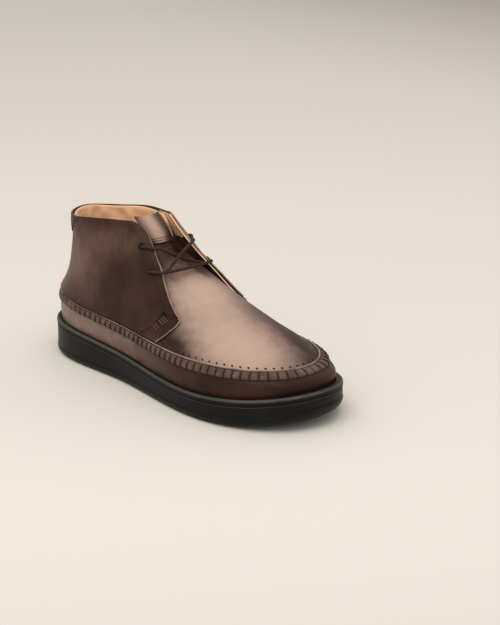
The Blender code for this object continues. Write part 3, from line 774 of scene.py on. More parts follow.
def tube(route, radius, sides, wave=None):
    """Points and faces of a capped tube along a route."""
    route = np.asarray(route, float)
    ahead = np.gradient(route, axis=0)
    ahead /= np.linalg.norm(ahead, axis=1, keepdims=True)
    side = np.cross(ahead[0], [0.0, 0.0, 1.0])
    if np.linalg.norm(side) < 1e-3:
        side = np.cross(ahead[0], [1.0, 0.0, 0.0])
    sideways = []
    for direction in ahead:
        side = side - direction * (side @ direction)
        side /= np.linalg.norm(side)
        sideways.append(side)
    sideways = np.array(sideways)
    upward = np.cross(ahead, sideways)
    turn = np.arange(sides) / sides * math.tau
    reach = np.broadcast_to(np.asarray(radius, float).reshape(-1, 1), (len(route), sides)).copy()
    if wave is not None:
        reach *= wave(np.arange(len(route))[:, None], turn[None, :])
    loops = (
        route[:, None]
        + sideways[:, None] * (np.cos(turn) * reach)[..., None]
        + upward[:, None] * (np.sin(turn) * reach)[..., None]
    )
    faces = ring_faces(len(route), sides, False).tolist()
    faces.append(list(range(sides))[::-1])
    faces.append([(len(route) - 1) * sides + step for step in range(sides)])
    return loops.reshape(-1, 3), faces


def closed_tube(route, radius, sides):
    """Points and faces of a tube along a closed route."""
    ahead = np.roll(route, -1, axis=0) - np.roll(route, 1, axis=0)
    ahead /= np.linalg.norm(ahead, axis=1, keepdims=True)
    sideways = np.cross(ahead, [0.0, 0.0, 1.0])
    sideways /= np.linalg.norm(sideways, axis=1, keepdims=True)
    upward = np.cross(sideways, ahead)
    turn = (np.arange(sides) / sides * math.tau)[None, :, None]
    spokes = sideways[:, None] * np.cos(turn) + upward[:, None] * np.sin(turn)
    loops = route[:, None] + radius * spokes
    return loops.reshape(-1, 3), ring_faces(len(route), sides, True).tolist()


def joined(parts):
    """Several (points, faces) pairs as one."""
    points, faces, start = [], [], 0
    for part_points, part_faces in parts:
        points.append(part_points)
        faces += [[start + index for index in face] for face in part_faces]
        start += len(part_points)
    return np.concatenate(points), faces


# Stitch phases: places around the seam, evenly along its length
def seam_length():
    """Around values, and the length walked along the seam at each of them."""
    around = np.linspace(0.0, 1.0, 4001)
    points = upper_point(around, np.full(len(around), 2.8))
    walked = np.concatenate([[0.0], np.cumsum(np.linalg.norm(np.diff(points, axis=0), axis=1))])
    return around, walked


SEAM_AROUND, SEAM_WALKED = seam_length()
STITCHES = round(SEAM_WALKED[-1] / STITCH_PITCH)


def seam_around(phase):
    """Around value at a stitch phase: whole numbers lie on the stitches."""
    walked = np.asarray(phase, float) / STITCHES % 1.0 * SEAM_WALKED[-1]
    return np.interp(walked, SEAM_WALKED, SEAM_AROUND)


def seam_leans():
    """Stitches the band's top runs ahead of its foot along the seam, at each stitch."""
    around = seam_around(np.arange(STITCHES + 1))
    foot = upper_point(around, np.full(STITCHES + 1, BAND_FOOT))
    top = upper_point(around, np.full(STITCHES + 1, BAND_TOP))
    ahead = upper_point((around + 1e-3) % 1.0, np.full(STITCHES + 1, BAND_MIDDLE))
    ahead = ahead - upper_point((around - 1e-3) % 1.0, np.full(STITCHES + 1, BAND_MIDDLE))
    ahead /= np.linalg.norm(ahead, axis=1, keepdims=True)
    return ((top - foot) * ahead).sum(axis=1) / STITCH_PITCH


SEAM_LEANS = seam_leans()


def upright(phase, ring):
    """How far to shift a stitch phase at a ring, so that a stitch stands square to the seam."""
    lean = np.interp(phase % STITCHES, np.arange(STITCHES + 1), SEAM_LEANS)
    return lean * ((ring - BAND_TOP) / (BAND_TOP - BAND_FOOT))


def seam_relief(phase, ring):
    """How far the seam's puffs, ridge and pinholes stand off the upper's smooth face."""
    height = np.clip((ring - BAND_FOOT) / (BAND_TOP - BAND_FOOT), 0.0, 1.0)
    phase = phase + upright(phase, np.clip(ring, BAND_FOOT, BAND_TOP))
    along = np.abs(2 * (phase % 1.0) - 1)
    across = np.abs(2 * height - 1)
    puff = (1 - along**6) ** 0.6 * (1 - across**5) ** 0.6
    band = np.where((height > 0) & (height < 1), BAND_RAISE * (1 - across**6), 0.0)
    ridge = RIDGE_RAISE * np.sqrt(np.clip(bump(ring, RIDGE_RING, RIDGE_HALF), 0.0, 1.0))
    groove = -GROOVE_DIP * bump(ring, GROOVE_RING, GROOVE_HALF)
    valley = -VALLEY_DIP * bump(ring, VALLEY_RING, VALLEY_HALF)
    hole = -PINHOLE_DIP * bump(along, 1.0, 0.30) * bump(ring, PINHOLE_RING, PINHOLE_HALF)
    return band + PUFF_RAISE * puff + ridge + groove + valley + hole


def leather_tone(points, spots):
    """Light and dark of the oiled leather from the listed spots, partly its own pull-up tone and partly
    painted sheen and painted shade, at points of the last's own frame.
    """
    x, y, z = (points[..., axis] * 1000 for axis in range(3))
    tone = np.zeros(x.shape)
    for cx, cy, cz, rx, ry, rz, amount in spots:
        far = ((x - cx) / rx) ** 2 + ((y - cy) / ry) ** 2 + ((z - cz) / rz) ** 2
        tone += amount * np.exp(-far)
    return tone


def vamp_surface(around, ring, outward):
    """The upper's face with soft creases under the lace."""
    fold = np.zeros(np.broadcast(around, ring).shape)
    for centre, middle, half_around, half_ring, amount in VAMP_FOLDS:
        fold = fold + amount * bump(around, middle, half_around) * bump(ring, centre, half_ring)
    return raised(upper_point, around, ring, outward + fold)


def lining_waves(around, ring):
    """Soft folds of the lining inside the shaft."""
    wave = np.sin(around * 75 + 1.4 * np.sin(ring * 2.1)) + 0.6 * np.sin(around * 131 + ring * 1.7)
    folds = 0.0006 * wave * eased((ring - 5.5) / 1.5) * eased((8.75 - ring) / 0.35)
    return folds + 0.0006 * bump(ring, 8.72, 0.05)


# Finishes of the upper, in the order of its material slots
FACE, LINING, EDGE, RIDGE = range(4)


def make_upper(leather, lining, edge, ridge):
    """The hollow upper: side wall, hand-sewn seam, apron, instep and the shaft's lining."""
    steps = STITCHES * STEPS_PER_STITCH
    phase = np.arange(steps) / STEPS_PER_STITCH
    around = seam_around(phase)
    corner = UPPER_WALL * 0.4
    loops = [
        floor_outline(around, MARGIN, GAP),
        floor_outline(around, corner, GAP),
        floor_outline(around, 0.0, GAP + corner),
    ]
    low_loops = len(loops)
    slots = [FACE] * low_loops
    for number in OUTER_RINGS:
        ring = np.full(steps, number)
        loops.append(upper_face(around, ring, seam_relief(phase, ring)))
        # Faces on the ridge get its light finish: partly worn leather, partly a painted highlight
        slots.append(RIDGE if RIDGE_RINGS[0] < number < RIDGE_RINGS[1] else FACE)
    top, start = top_ring(around), OUTER_RINGS[-1]
    top_edge = np.where(np.abs(around - 0.5) > UNDER_QUARTER, LINING, EDGE)
    for share in OUTER_SHARES:
        rounded = EDGE_ROUND * max(0.0, (share - ROUNDED_SHARE) / (1 - ROUNDED_SHARE)) ** 2
        ring = start + (top - start) * share
        loops.append(vamp_surface(around, ring, np.full(steps, -rounded)))
        slots.append(FACE if share < EDGE_SHARE else top_edge)
    for share in INNER_SHARES:
        rounded = EDGE_ROUND * max(0.0, (share - ROUNDED_SHARE) / (1 - ROUNDED_SHARE)) ** 2
        ring = start + (top - start) * share
        loops.append(upper_face(around, ring, rounded - UPPER_WALL + lining_waves(around, ring)))
        slots.append(LINING)
    for number in INNER_RINGS:
        loops.append(upper_face(around, np.full(steps, number), np.full(steps, -UPPER_WALL)))
        slots.append(LINING)
    loops.append(floor_outline(around, UPPER_WALL, GAP + UPPER_WALL))
    loops.append(floor_outline(around, MARGIN, GAP + UPPER_WALL))
    slots += [LINING, LINING]
    loops = np.array(loops)
    # Tone of the upper: partly pull-up colour, partly painted sheen on the apron and painted shade near
    # the outer corner, the far side and the toe
    tone = leather_tone(loops, VAMP_TONE_SHEEN_SHADE)
    wall = low_loops + sum(number < RIDGE_RING for number in OUTER_RINGS)
    band = low_loops + sum(number < BAND_FOOT for number in OUTER_RINGS)
    # The wall below the seam: painted sheen pale at the heel, darkening towards the toe
    tone[:wall] = np.interp(loops[:wall, :, 0], WALL_X, WALL_SHEEN_TONE)
    tone[band:wall] = BAND_TONE
    slots = np.concatenate([np.broadcast_to(slot, steps) for slot in slots])
    faces = ring_faces(len(loops), steps, True)
    finishes = (leather, lining, edge, ridge)
    made = add_mesh("upper_leather", loops, faces, finishes, slots, 75, tone)
    return dress(made, "upper_leather", "upper")


def quarter_relief(around, ring):
    """The corner patch with its creased outline, and the quarter's soft waves."""
    relief = np.zeros(around.shape)
    for path in (PATCH_TOP, PATCH_BACK):
        (a0, r0), (a1, r1) = path
        across = np.stack([(around - a0) * MM_AROUND, (ring - r0) * MM_RING], -1)
        line = np.array([(a1 - a0) * MM_AROUND, (r1 - r0) * MM_RING])
        share = np.clip(across @ line / (line @ line), 0.0, 1.0)
        off = np.linalg.norm(across - share[..., None] * line, axis=-1)
        relief += PATCH_RAISE * bump(off, 1.1, 1.0) - PATCH_CREASE * bump(off, 0.0, 0.9)
    for middle, centre, half_around, half_ring, amount in QUARTER_WAVES:
        relief += amount * bump(around, middle, half_around) * bump(ring, centre, half_ring)
    return relief


def quarter_columns(rings, count):
    """Around values of a quarter's columns, from the back seam to the facing's edge."""
    back = LAST_RINGS[COLLAR_RING]
    reach = math.tau * math.sqrt(back["rounds"][0] * (back["front"] - back["back"]) / 2)
    seam = BACK_SEAM / 2 / reach
    edge = facing_edge(rings)[:, None]
    return seam + (edge - seam) * crowded(count, CROWDING)[None, :]


def quarter_rings(count):
    """Ring numbers of a quarter's rows, from its foot to the collar."""
    return QUARTER_FOOT + (QUARTER_TOP - QUARTER_FOOT) * crowded(count, CROWDING)


def far_flare(around, ring):
    """How far the inner facing's leather parts from its lining, near the facing's edge."""
    behind = facing_edge(ring) - around
    return np.interp(ring, FLARE_RINGS, FLARE_RAISES) * eased(1 - behind / FLARE_REACH)


def punch(made, inner_side):
    """Cuts the two eyelet holes through a quarter's leather or lining."""
    for number, (around, ring) in enumerate((UPPER_EYELET, LOWER_EYELET)):
        middle, outward = quarter_frame(on_side(around, inner_side), ring)
        mesh = bpy.data.meshes.new(f"{made.name}_punch_{number}")
        cutter_shape = bmesh.new()
        bmesh.ops.create_cone(
            cutter_shape, cap_ends=True, segments=HOLE_SIDES, radius1=EYELET_HOLE / 2,
            radius2=EYELET_HOLE / 2, depth=PUNCH_LENGTH,
        )
        cutter_shape.to_mesh(mesh)
        cutter_shape.free()
        cutter = bpy.data.objects.new(mesh.name, mesh)
        bpy.context.scene.collection.objects.link(cutter)
        cutter.location = Vector(middle + ORIGIN)
        cutter.rotation_euler = Vector(outward).to_track_quat("Z", "Y").to_euler()
        cut = made.modifiers.new("eyelet", "BOOLEAN")
        cut.operation = "DIFFERENCE"
        cut.solver = "EXACT"
        cut.object = cutter
        bpy.context.view_layer.update()
        graph = bpy.context.evaluated_depsgraph_get()
        shape = bpy.data.meshes.new_from_object(made.evaluated_get(graph))
        made.modifiers.clear()
        made.data = shape
        bpy.data.objects.remove(cutter)


def make_quarter(inner_side, leather, edge, inside, lining):
    """A side panel, and the lining behind its facing as a piece of its own."""
    side = "inner" if inner_side else "outer"
    rings = quarter_rings(PANEL_ROWS)
    around = quarter_columns(rings, PANEL_COLUMNS)
    ring = np.repeat(rings[:, None], PANEL_COLUMNS, axis=1)
    fall = edge_fall(len(rings), PANEL_COLUMNS, PANEL_SPACING, EDGE_ROUND)
    relief = quarter_relief(around, ring)
    flare = far_flare(around, ring) if inner_side else 0.0
    high = QUARTER_WALL + relief - fall + flare
    low = LEATHER_FROM + flare + np.zeros(around.shape)
    places = on_side(around, inner_side)
    # Tone of the quarter: partly pull-up colour, partly painted sheen towards its back and top, and
    # darker in its middle
    tone = leather_tone(quarter_point(around, ring), QUARTER_TONE_SHEEN_SHADE)
    made = panel_mesh(f"quarter_{side}_leather", quarter_point, places, ring, low, high,
                      (leather, edge, inside), 1, tone, True)
    punch(made, inner_side)
    dress(made, "quarter_leather", f"quarter_{side}")
    keep = rings >= (INNER_LINING_FOOT if inner_side else OUTER_LINING_FOOT)
    inner_rings = np.minimum(rings[keep], LINING_TOP)
    columns = LINING_COLUMNS
    edges = facing_edge(inner_rings)[:, None]
    past = (LINING_PEEK if inner_side else -LINING_PEEK) * 1000 / MM_AROUND
    back = edges - LINING_REACH
    lining_around = back + (edges + past - back) * crowded(columns, CROWDING)[None, :]
    lining_ring = np.repeat(inner_rings[:, None], columns, axis=1)
    fall = edge_fall(len(inner_rings), columns, STRIP_SPACING, LINING_ROUND)
    places = on_side(lining_around, inner_side)
    rise = LINING_RISE * far_flare(lining_around, lining_ring) if inner_side else 0.0
    low = LEATHER_FROM - LINING_CLEAR - LINING_WALL + rise + np.zeros(lining_around.shape)
    piece = panel_mesh(f"facing_lining_{side}", quarter_point, places, lining_ring, low,
                       low + LINING_WALL - fall, (inside, lining, inside), 2, None, True)
    # The lining's tan shows on its inner face near the collar
    for face in piece.data.polygons:
        if face.material_index == 2 and face.center.z > LINING_FROM:
            face.material_index = 1
    punch(piece, inner_side)
    dress(piece, "tab_leather")


def make_tongue(leather, edge):
    """The tongue's tip, with a painted highlight a little to the outer side of its middle, and darker
    towards its foot.
    """
    rings = TONGUE_FOOT + (TONGUE_TOP - TONGUE_FOOT) * crowded(STRIP_ROWS, CROWDING)
    share = (rings - rings[0]) / (rings[-1] - rings[0])
    half = TONGUE_HALF_LOW + (TONGUE_HALF_TOP - TONGUE_HALF_LOW) * share
    columns = TONGUE_COLUMNS
    around = 0.5 + half[:, None] * (2 * crowded(columns, CROWDING) - 1)[None, :]
    ring = np.repeat(rings[:, None], columns, axis=1)
    fall = edge_fall(len(rings), columns, STRIP_SPACING, STRIP_ROUND)
    curl = TONGUE_CURL * np.sin(share * math.pi)[:, None] * np.ones(columns)[None, :]
    high = GAP + TONGUE_WALL - fall + curl
    across = (around - 0.5) / half[:, None]
    # Painted highlight a little to the outer side of the middle, and darker towards the foot
    tone = 0.95 * np.exp(-((across + 0.25) / 0.55) ** 2) - 0.35 * (1 - share)[:, None] ** 4
    made = panel_mesh("tongue_leather", upper_face, around, ring, GAP + curl, high,
                      (leather, edge, leather), 1, tone)
    return dress(made, "tongue_leather", "tongue")


def make_pull_tab(leather, edge):
    """The strap over the back seam."""
    table = named(PULL_TAB_ROW_COLUMNS, PULL_TAB_ROWS)
    numbers = np.array([row["ring"] for row in table])
    widths = np.array([row["width"] for row in table])
    rings = numbers[0] + (PULL_TAB_TOP - numbers[0]) * crowded(STRIP_ROWS, CROWDING)
    halves = np.interp(rings, numbers, widths) * PULL_TAB_WIDTH / 2
    count = np.arange(len(LAST_RINGS))
    backs = cubic(count, [ring["rounds"][0] for ring in LAST_RINGS], rings)
    lengths = cubic(count, [ring["front"] - ring["back"] for ring in LAST_RINGS], rings)
    reach = math.tau * np.sqrt(backs * lengths / 2)
    columns = PULL_TAB_COLUMNS
    around = (halves / reach)[:, None] * (2 * crowded(columns, CROWDING) - 1)[None, :]
    ring = np.repeat(rings[:, None], columns, axis=1)
    low = np.full(ring.shape, GAP + QUARTER_WALL - PULL_TAB_SINK)
    fall = edge_fall(len(rings), columns, STRIP_SPACING, STRIP_ROUND)
    made = panel_mesh("pull_tab_leather", last_face, around, ring, low, low + PULL_TAB_WALL - fall,
                      (leather, edge, leather), 2, np.full(around.shape, 0.0))
    return dress(made, "tab_leather", "pull_tab")


def braid(step, turn):
    """Fine braid of a round cord, as a share of its radius."""
    climb = step * LACE_STEP / LACE_DIAMETER * math.tau * 0.9
    return 1 + 0.045 * np.sin(4 * turn + climb) * np.sin(4 * turn - climb)


def make_lace(finish):
    """The one round lace, as a braided cord."""
    route = smooth_route(lace_points(), LACE_STEP)
    points, faces = tube(route, LACE_DIAMETER / 2, TUBE_SIDES, braid)
    made = add_mesh("lace_cord", points, faces, (finish,), None, 80)
    return dress(made, "lace_cord", "lace")


def small_parts(name, parts, finish, angle=80):
    """One piece from many small (points, faces) pairs."""
    points, faces = joined(parts)
    return add_mesh(name, points, faces, (finish,), None, angle)


def make_eyelet_shade_rings(finish):
    """Painted shade: a near-black rim round each eyelet of both quarters."""
    parts = []
    turn = np.arange(EYELET_RIM_SIDES) / EYELET_RIM_SIDES * math.tau
    for inner_side in (False, True):
        for around, ring in (UPPER_EYELET, LOWER_EYELET):
            middle, outward = quarter_frame(on_side(around, inner_side), ring)
            level = np.cross(outward, [0.0, 0.0, 1.0])
            level /= np.linalg.norm(level)
            steep = np.cross(level, outward)
            circle = level * np.cos(turn)[:, None] * EYELET_RIM_STRETCH + steep * np.sin(turn)[:, None]
            loops = [
                middle + circle * radius + outward * (QUARTER_WALL * EYELET_LIFT + lift)
                for radius, lift in EYELET_RIM
            ]
            faces = ring_faces(len(EYELET_RIM), EYELET_RIM_SIDES, True).tolist()
            parts.append((np.concatenate(loops), faces))
    return dress(small_parts("eyelet_shade_rings", parts, finish, 60), "quarter_leather")


def make_seam_thread(finish):
    """One short upright stitch in each gap between the puffs, from the ridge to the band's foot.

    A dark line of painted shade runs along the seam's crease above the puffs, and another below them."""
    parts = []
    rings = np.array(STITCH_RINGS)
    for stitch in range(STITCHES):
        phase = np.full(len(rings), float(stitch))
        around = seam_around(stitch - upright(phase, rings))
        off = seam_relief(phase, rings) + THREAD_RADIUS * 0.35
        off[[0, -1]] -= THREAD_RADIUS * 1.6
        parts.append(tube(upper_face(around, rings, off), THREAD_RADIUS, THREAD_SIDES))
    around = seam_around(np.arange(0, STITCHES, 0.25))
    # Painted shade: dark thread-coloured lines in the seam's creases
    for ring, lift in SEAM_SHADE_LINES:
        line = upper_face(around, np.full(len(around), ring), np.full(len(around), lift))
        parts.append(closed_tube(line, SEAM_LINE_RADIUS, THREAD_SIDES))
    return dress(small_parts("seam_thread_and_shade_lines", parts, finish), "lace_cord")


def make_pinholes(finish):
    """Awl marks above the ridge, painted near-black as the shade in their holes."""
    parts = []
    turn = np.arange(PINHOLE_SIDES) / PINHOLE_SIDES * math.tau
    for stitch in range(STITCHES):
        around = float(seam_around(stitch + 0.0))
        spot = np.array([around]), np.array([PINHOLE_RING])
        centre = upper_face(*spot, np.array([-PINHOLE_PIT]))[0]
        along = upper_face(spot[0] + 1e-3, spot[1], np.zeros(1))[0]
        upward = upper_face(spot[0], spot[1] + 1e-2, np.zeros(1))[0]
        base = upper_face(*spot, np.zeros(1))[0]
        first = (along - base) / np.linalg.norm(along - base)
        second = (upward - base) / np.linalg.norm(upward - base)
        normal = np.cross(first, second)
        rim = base + normal * PINHOLE_LIFT + PINHOLE_RADIUS * (
            np.cos(turn)[:, None] * first + np.sin(turn)[:, None] * second)
        faces = [
            [step, (step + 1) % PINHOLE_SIDES, PINHOLE_SIDES] for step in range(PINHOLE_SIDES)
        ]
        parts.append((np.concatenate([rim, [centre]]), faces))
    return dress(small_parts("awl_marks", parts, finish), "lace_cord")


def make_patch_stitches(finish):
    """Short thick hand stitches on each quarter's corner patch."""
    parts = []
    share = np.linspace(0.0, 1.0, 9)
    lift = QUARTER_WALL + PATCH_STITCH_ARCH * np.sin(share * math.pi) ** 0.5 - PATCH_STITCH_SINK
    for inner_side in (False, True):
        for (a0, r0), (a1, r1) in PATCH_STITCHES:
            places = on_side(a0 + (a1 - a0) * share, inner_side)
            route = quarter_point(places, r0 + (r1 - r0) * share, lift)
            parts.append(tube(route, PATCH_STITCH_RADIUS, 8))
    return dress(small_parts("patch_stitches", parts, finish), "lace_cord")


def make_tongue_stitches(finish):
    """Two rows of fine stitches near the tongue's lower edge."""
    parts = []
    share = np.linspace(0.0, 1.0, 6)
    for row in TONGUE_STITCH_ROWS:
        curl = TONGUE_CURL * math.sin((row - TONGUE_FOOT) / (TONGUE_TOP - TONGUE_FOOT) * math.pi)
        arch = TONGUE_STITCH_ARCH * np.sin(share * math.pi)
        lift = GAP + TONGUE_WALL + curl + arch - TONGUE_STITCH_SINK
        for start in np.arange(-TONGUE_STITCH_HALF_ROW, TONGUE_STITCH_HALF_ROW, TONGUE_STITCH_PITCH):
            around = 0.5 + start + TONGUE_STITCH_LENGTH * share
            route = upper_face(around, np.full(len(share), row), lift)
            parts.append(tube(route, TONGUE_STITCH_RADIUS, THREAD_SIDES))
    return dress(small_parts("tongue_stitches", parts, finish), "lace_cord")


def sole_side(around):
    """Outlines of the cupsole's side, from the underside's edge up to the groove."""
    feather = LAST_RINGS[FEATHER_RING]
    wall_out = GAP + RIM_WIDTH + SIDE_FLARE
    under = RIM_SHOWN + GROOVE_WIDTH
    loops = []
    at_toe = bump(around, 0.5, 0.24)[:, None]
    for angle in np.linspace(0.0, math.pi / 2, 9):
        in_share, up_share = 1 - math.sin(angle), 1 - math.cos(angle)
        side = outline(grown(feather, wall_out - FOOT_BEVEL * in_share, forward=TOE_BUMPER), around)
        toe = outline(grown(feather, wall_out - TOE_BEVEL * in_share, forward=TOE_BUMPER), around)
        side[:, 2] = sole_underside(side[:, 0]) + FOOT_BEVEL * 1.5 * up_share
        toe[:, 2] = sole_underside(toe[:, 0]) + TOE_BEVEL * 1.1 * up_share
        loops.append(side + (toe - side) * at_toe)
    top = outline(grown(feather, wall_out, -under - GROOVE_DEPTH, TOE_BUMPER), around)
    foot = loops[-1]
    for share in (0.04, 0.08, 0.11, 0.14, 0.25, 0.4, 0.55, 0.7, 0.82, 0.9, 0.95):
        points = foot + (top - foot) * share
        crease = SIDE_CREASE * math.exp(-(((share - 0.11) / 0.02) ** 2))
        tuck = -SIDE_TUCK * min(1.0, share / 0.3) - crease
        inner = outline(grown(feather, wall_out + tuck, 0.0, TOE_BUMPER), around)
        points[:, :2] = inner[:, :2]
        loops.append(points)
    return loops


def sole_rim(around):
    """Outlines from the groove over the rim band and down into the cup."""
    feather = LAST_RINGS[FEATHER_RING]
    rim_out = GAP + RIM_WIDTH
    wall_out = rim_out + SIDE_FLARE
    under = RIM_SHOWN + GROOVE_WIDTH
    depth = GROOVE_DEPTH * 1.7
    from_rim = (
        (wall_out - SIDE_TUCK, under + 0.0006),
        (wall_out - SIDE_TUCK - 0.0001, under + 0.0003),
        (wall_out - max(depth, SIDE_TUCK) * 0.9, under),
        (wall_out - depth, under - 0.0003),
        (wall_out - depth, RIM_SHOWN + 0.0001),
        (wall_out - depth * 0.5, RIM_SHOWN - 0.0002),
        (wall_out - 0.0002, RIM_SHOWN - 0.0006),
        (wall_out - 0.0001, RIM_SHOWN * 0.75),
        (wall_out - 0.0002, RIM_SHOWN * 0.5),
        (wall_out - 0.0005, RIM_SHOWN * 0.28),
        (wall_out - 0.0009, RIM_SHOWN * 0.16),
        (rim_out + 0.0001, RIM_SHOWN * 0.07),
        (rim_out - 0.0004, 0.0001),
        (rim_out - 0.0009, -0.0001),
        (GAP + 0.0011, -0.0001),
        (GAP + 0.0005, 0.0001),
        (GAP + 0.0001, 0.0006),
        (GAP, 0.0012),
    )
    loops = []
    for outward, down in from_rim:
        forward = TOE_BUMPER if outward > GAP + 0.0002 else 0.0
        loops.append(outline(grown(feather, outward, -down, forward), around))
    loops.append(floor_outline(around, -GAP, 0.0))
    return loops


def tread(points):
    """Herringbone grooves of the underside, as a rise above the ground."""
    x, y = points[..., 0], points[..., 1]
    zig = np.abs((y / TREAD_ZIG_WIDTH) % 2.0 - 1.0) * TREAD_ZIG
    wave = ((x + zig) / TREAD_PITCH) % 1.0
    return TREAD_DEPTH * bump(wave, 0.5, 0.26)


def quads_across(index):
    """Faces of a grid of point numbers. Where its sides meet, a face has fewer corners."""
    faces = []
    for near, far in zip(index[:-1], index[1:]):
        for column in range(len(near) - 1):
            corners = (near[column], far[column], far[column + 1], near[column + 1])
            faces.append(list(dict.fromkeys(int(corner) for corner in corners)))
    return faces


def make_cupsole(rubber, worn):
    """The cupsole: its side and rim, the treaded underside and the cup's plain floor."""
    around = np.arange(SOLE_STEPS) / SOLE_STEPS
    loops = np.array(sole_side(around) + sole_rim(around))
    count = len(loops)
    faces = ring_faces(count, SOLE_STEPS, False).tolist()
    points = [loops.reshape(-1, 3)]
    base = count * SOLE_STEPS
    half = SOLE_STEPS // 2
    for first, underside in ((0, True), ((count - 1) * SOLE_STEPS, False)):
        ends = loops[0] if underside else loops[-1]
        columns = TREAD_COLUMNS if underside else 2
        share = np.arange(1, columns)[:, None] / columns
        index = np.zeros((half + 1, columns + 1), int)
        for step in range(half + 1):
            other = (SOLE_STEPS - step) % SOLE_STEPS
            if step in (0, half):
                index[step, :] = first + step
                continue
            across = ends[other] - ends[step]
            line = ends[step] + across * share
            if underside:
                inset = np.minimum(share[:, 0], 1 - share[:, 0]) * np.linalg.norm(across)
                line[:, 2] += tread(line) * eased((inset - TREAD_MARGIN) / TREAD_FADE)
            index[step, 0], index[step, -1] = first + step, first + other
            index[step, 1:-1] = base + np.arange(columns - 1)
            points.append(line)
            base += columns - 1
        inward = quads_across(index)
        faces += [face[::-1] for face in inward] if underside else inward
    # Painted highlight lines of lighter rubber on the rim
    slots = np.zeros(len(faces), int)
    for level in PAINTED_HIGHLIGHT_LEVELS:
        slots[level * SOLE_STEPS:(level + 1) * SOLE_STEPS] = 1
    made = add_mesh("cupsole_rubber", np.concatenate(points), faces, (rubber, worn), slots, 40)
    return dress(made, "sole_rubber", "cupsole")


def make_insole(leather):
    """The footbed, with a shallow pressed line along its edge."""
    around = np.arange(INSOLE_STEPS) / INSOLE_STEPS
    step_height = GAP + UPPER_WALL + GAP
    inner_wall = UPPER_WALL + 2 * GAP
    top = step_height + INSOLE_THICKNESS
    profile = (
        (MARGIN + GAP, GAP),
        (MARGIN + GAP, step_height),
        (inner_wall, step_height),
        (inner_wall, top - 0.0014),
        (inner_wall + 0.0003, top - 0.0006),
        (inner_wall + 0.0009, top - 0.0001),
        (inner_wall + 0.0018, top),
        (inner_wall + 0.0030, top),
        (inner_wall + 0.0034, top - 0.0003),
        (inner_wall + 0.0038, top),
        (inner_wall + 0.006, top),
    )
    loops = np.array([floor_outline(around, inset, height) for inset, height in profile])
    count, steps = loops.shape[:2]
    faces = ring_faces(count, steps, False).tolist()
    step = np.arange(steps // 2 + 1)
    index = np.stack([step, (steps - step) % steps], axis=1)
    faces += [face[::-1] for face in quads_across(index)]
    faces += quads_across(index + (count - 1) * steps)
    made = add_mesh("insole_leather", loops, faces, (leather,), None, 40)
    return dress(made, "insole_leather", "insole")


def new_material(name):
    """A new material with its node tree and its shader."""
    made = bpy.data.materials.new(name)
    made.use_nodes = True
    return made, made.node_tree, made.node_tree.nodes["Principled BSDF"]


def node(tree, kind, **settings):
    """A new node, with its sockets or settings by name."""
    made = tree.nodes.new(kind)
    for key, value in settings.items():
        if key in made.inputs:
            made.inputs[key].default_value = value
        else:
            setattr(made, key, value)
    return made


def mapped(tree, stretch):
    """Object coordinates in metres, stretched by a factor on each axis."""
    place = node(tree, "ShaderNodeTexCoord")
    scaled = node(tree, "ShaderNodeMapping")
    scaled.inputs["Scale"].default_value = stretch
    tree.links.new(place.outputs["Object"], scaled.inputs["Vector"])
    return scaled.outputs["Vector"]


def noise(tree, stretch, detail=4.0, roughness=0.55):
    """Noise from 0 to 1, at so many spots to the metre on each axis."""
    made = node(tree, "ShaderNodeTexNoise", Scale=1.0, Detail=detail, Roughness=roughness)
    tree.links.new(mapped(tree, stretch), made.inputs["Vector"])
    return made.outputs["Fac"]


def ramp(tree, source, low, high):
    """0 below low and 1 above high."""
    made = node(tree, "ShaderNodeMapRange")
    made.interpolation_type = "SMOOTHSTEP"
    made.inputs["From Min"].default_value = low
    made.inputs["From Max"].default_value = high
    tree.links.new(source, made.inputs["Value"])
    return made.outputs["Result"]


def maths(tree, operation, first, second):
    """A sum, difference, product or maximum of two numbers or sockets."""
    made = node(tree, "ShaderNodeMath", operation=operation)
    for socket, value in zip(made.inputs, (first, second)):
        if isinstance(value, (int, float)):
            socket.default_value = value
        else:
            tree.links.new(value, socket)
    return made.outputs[0]


def blended(tree, amount, first, second):
    """A mix of two colours, each a tuple or a socket."""
    made = node(tree, "ShaderNodeMix", data_type="RGBA")
    for name, value in (("A", first), ("B", second)):
        socket = next(s for s in made.inputs if s.name == name and s.type == "RGBA")
        if isinstance(value, tuple):
            socket.default_value = (*value, 1.0)
        else:
            tree.links.new(value, socket)
    factor = made.inputs[0]
    if isinstance(amount, (int, float)):
        factor.default_value = amount
    else:
        tree.links.new(amount, factor)
    return next(s for s in made.outputs if s.type == "RGBA")


def add_bump(tree, shader, height, strength, distance):
    """Fine relief of the surface, too small to model."""
    made = node(tree, "ShaderNodeBump", Strength=strength, Distance=distance)
    tree.links.new(height, made.inputs["Height"])
    tree.links.new(made.outputs["Normal"], shader.inputs["Normal"])


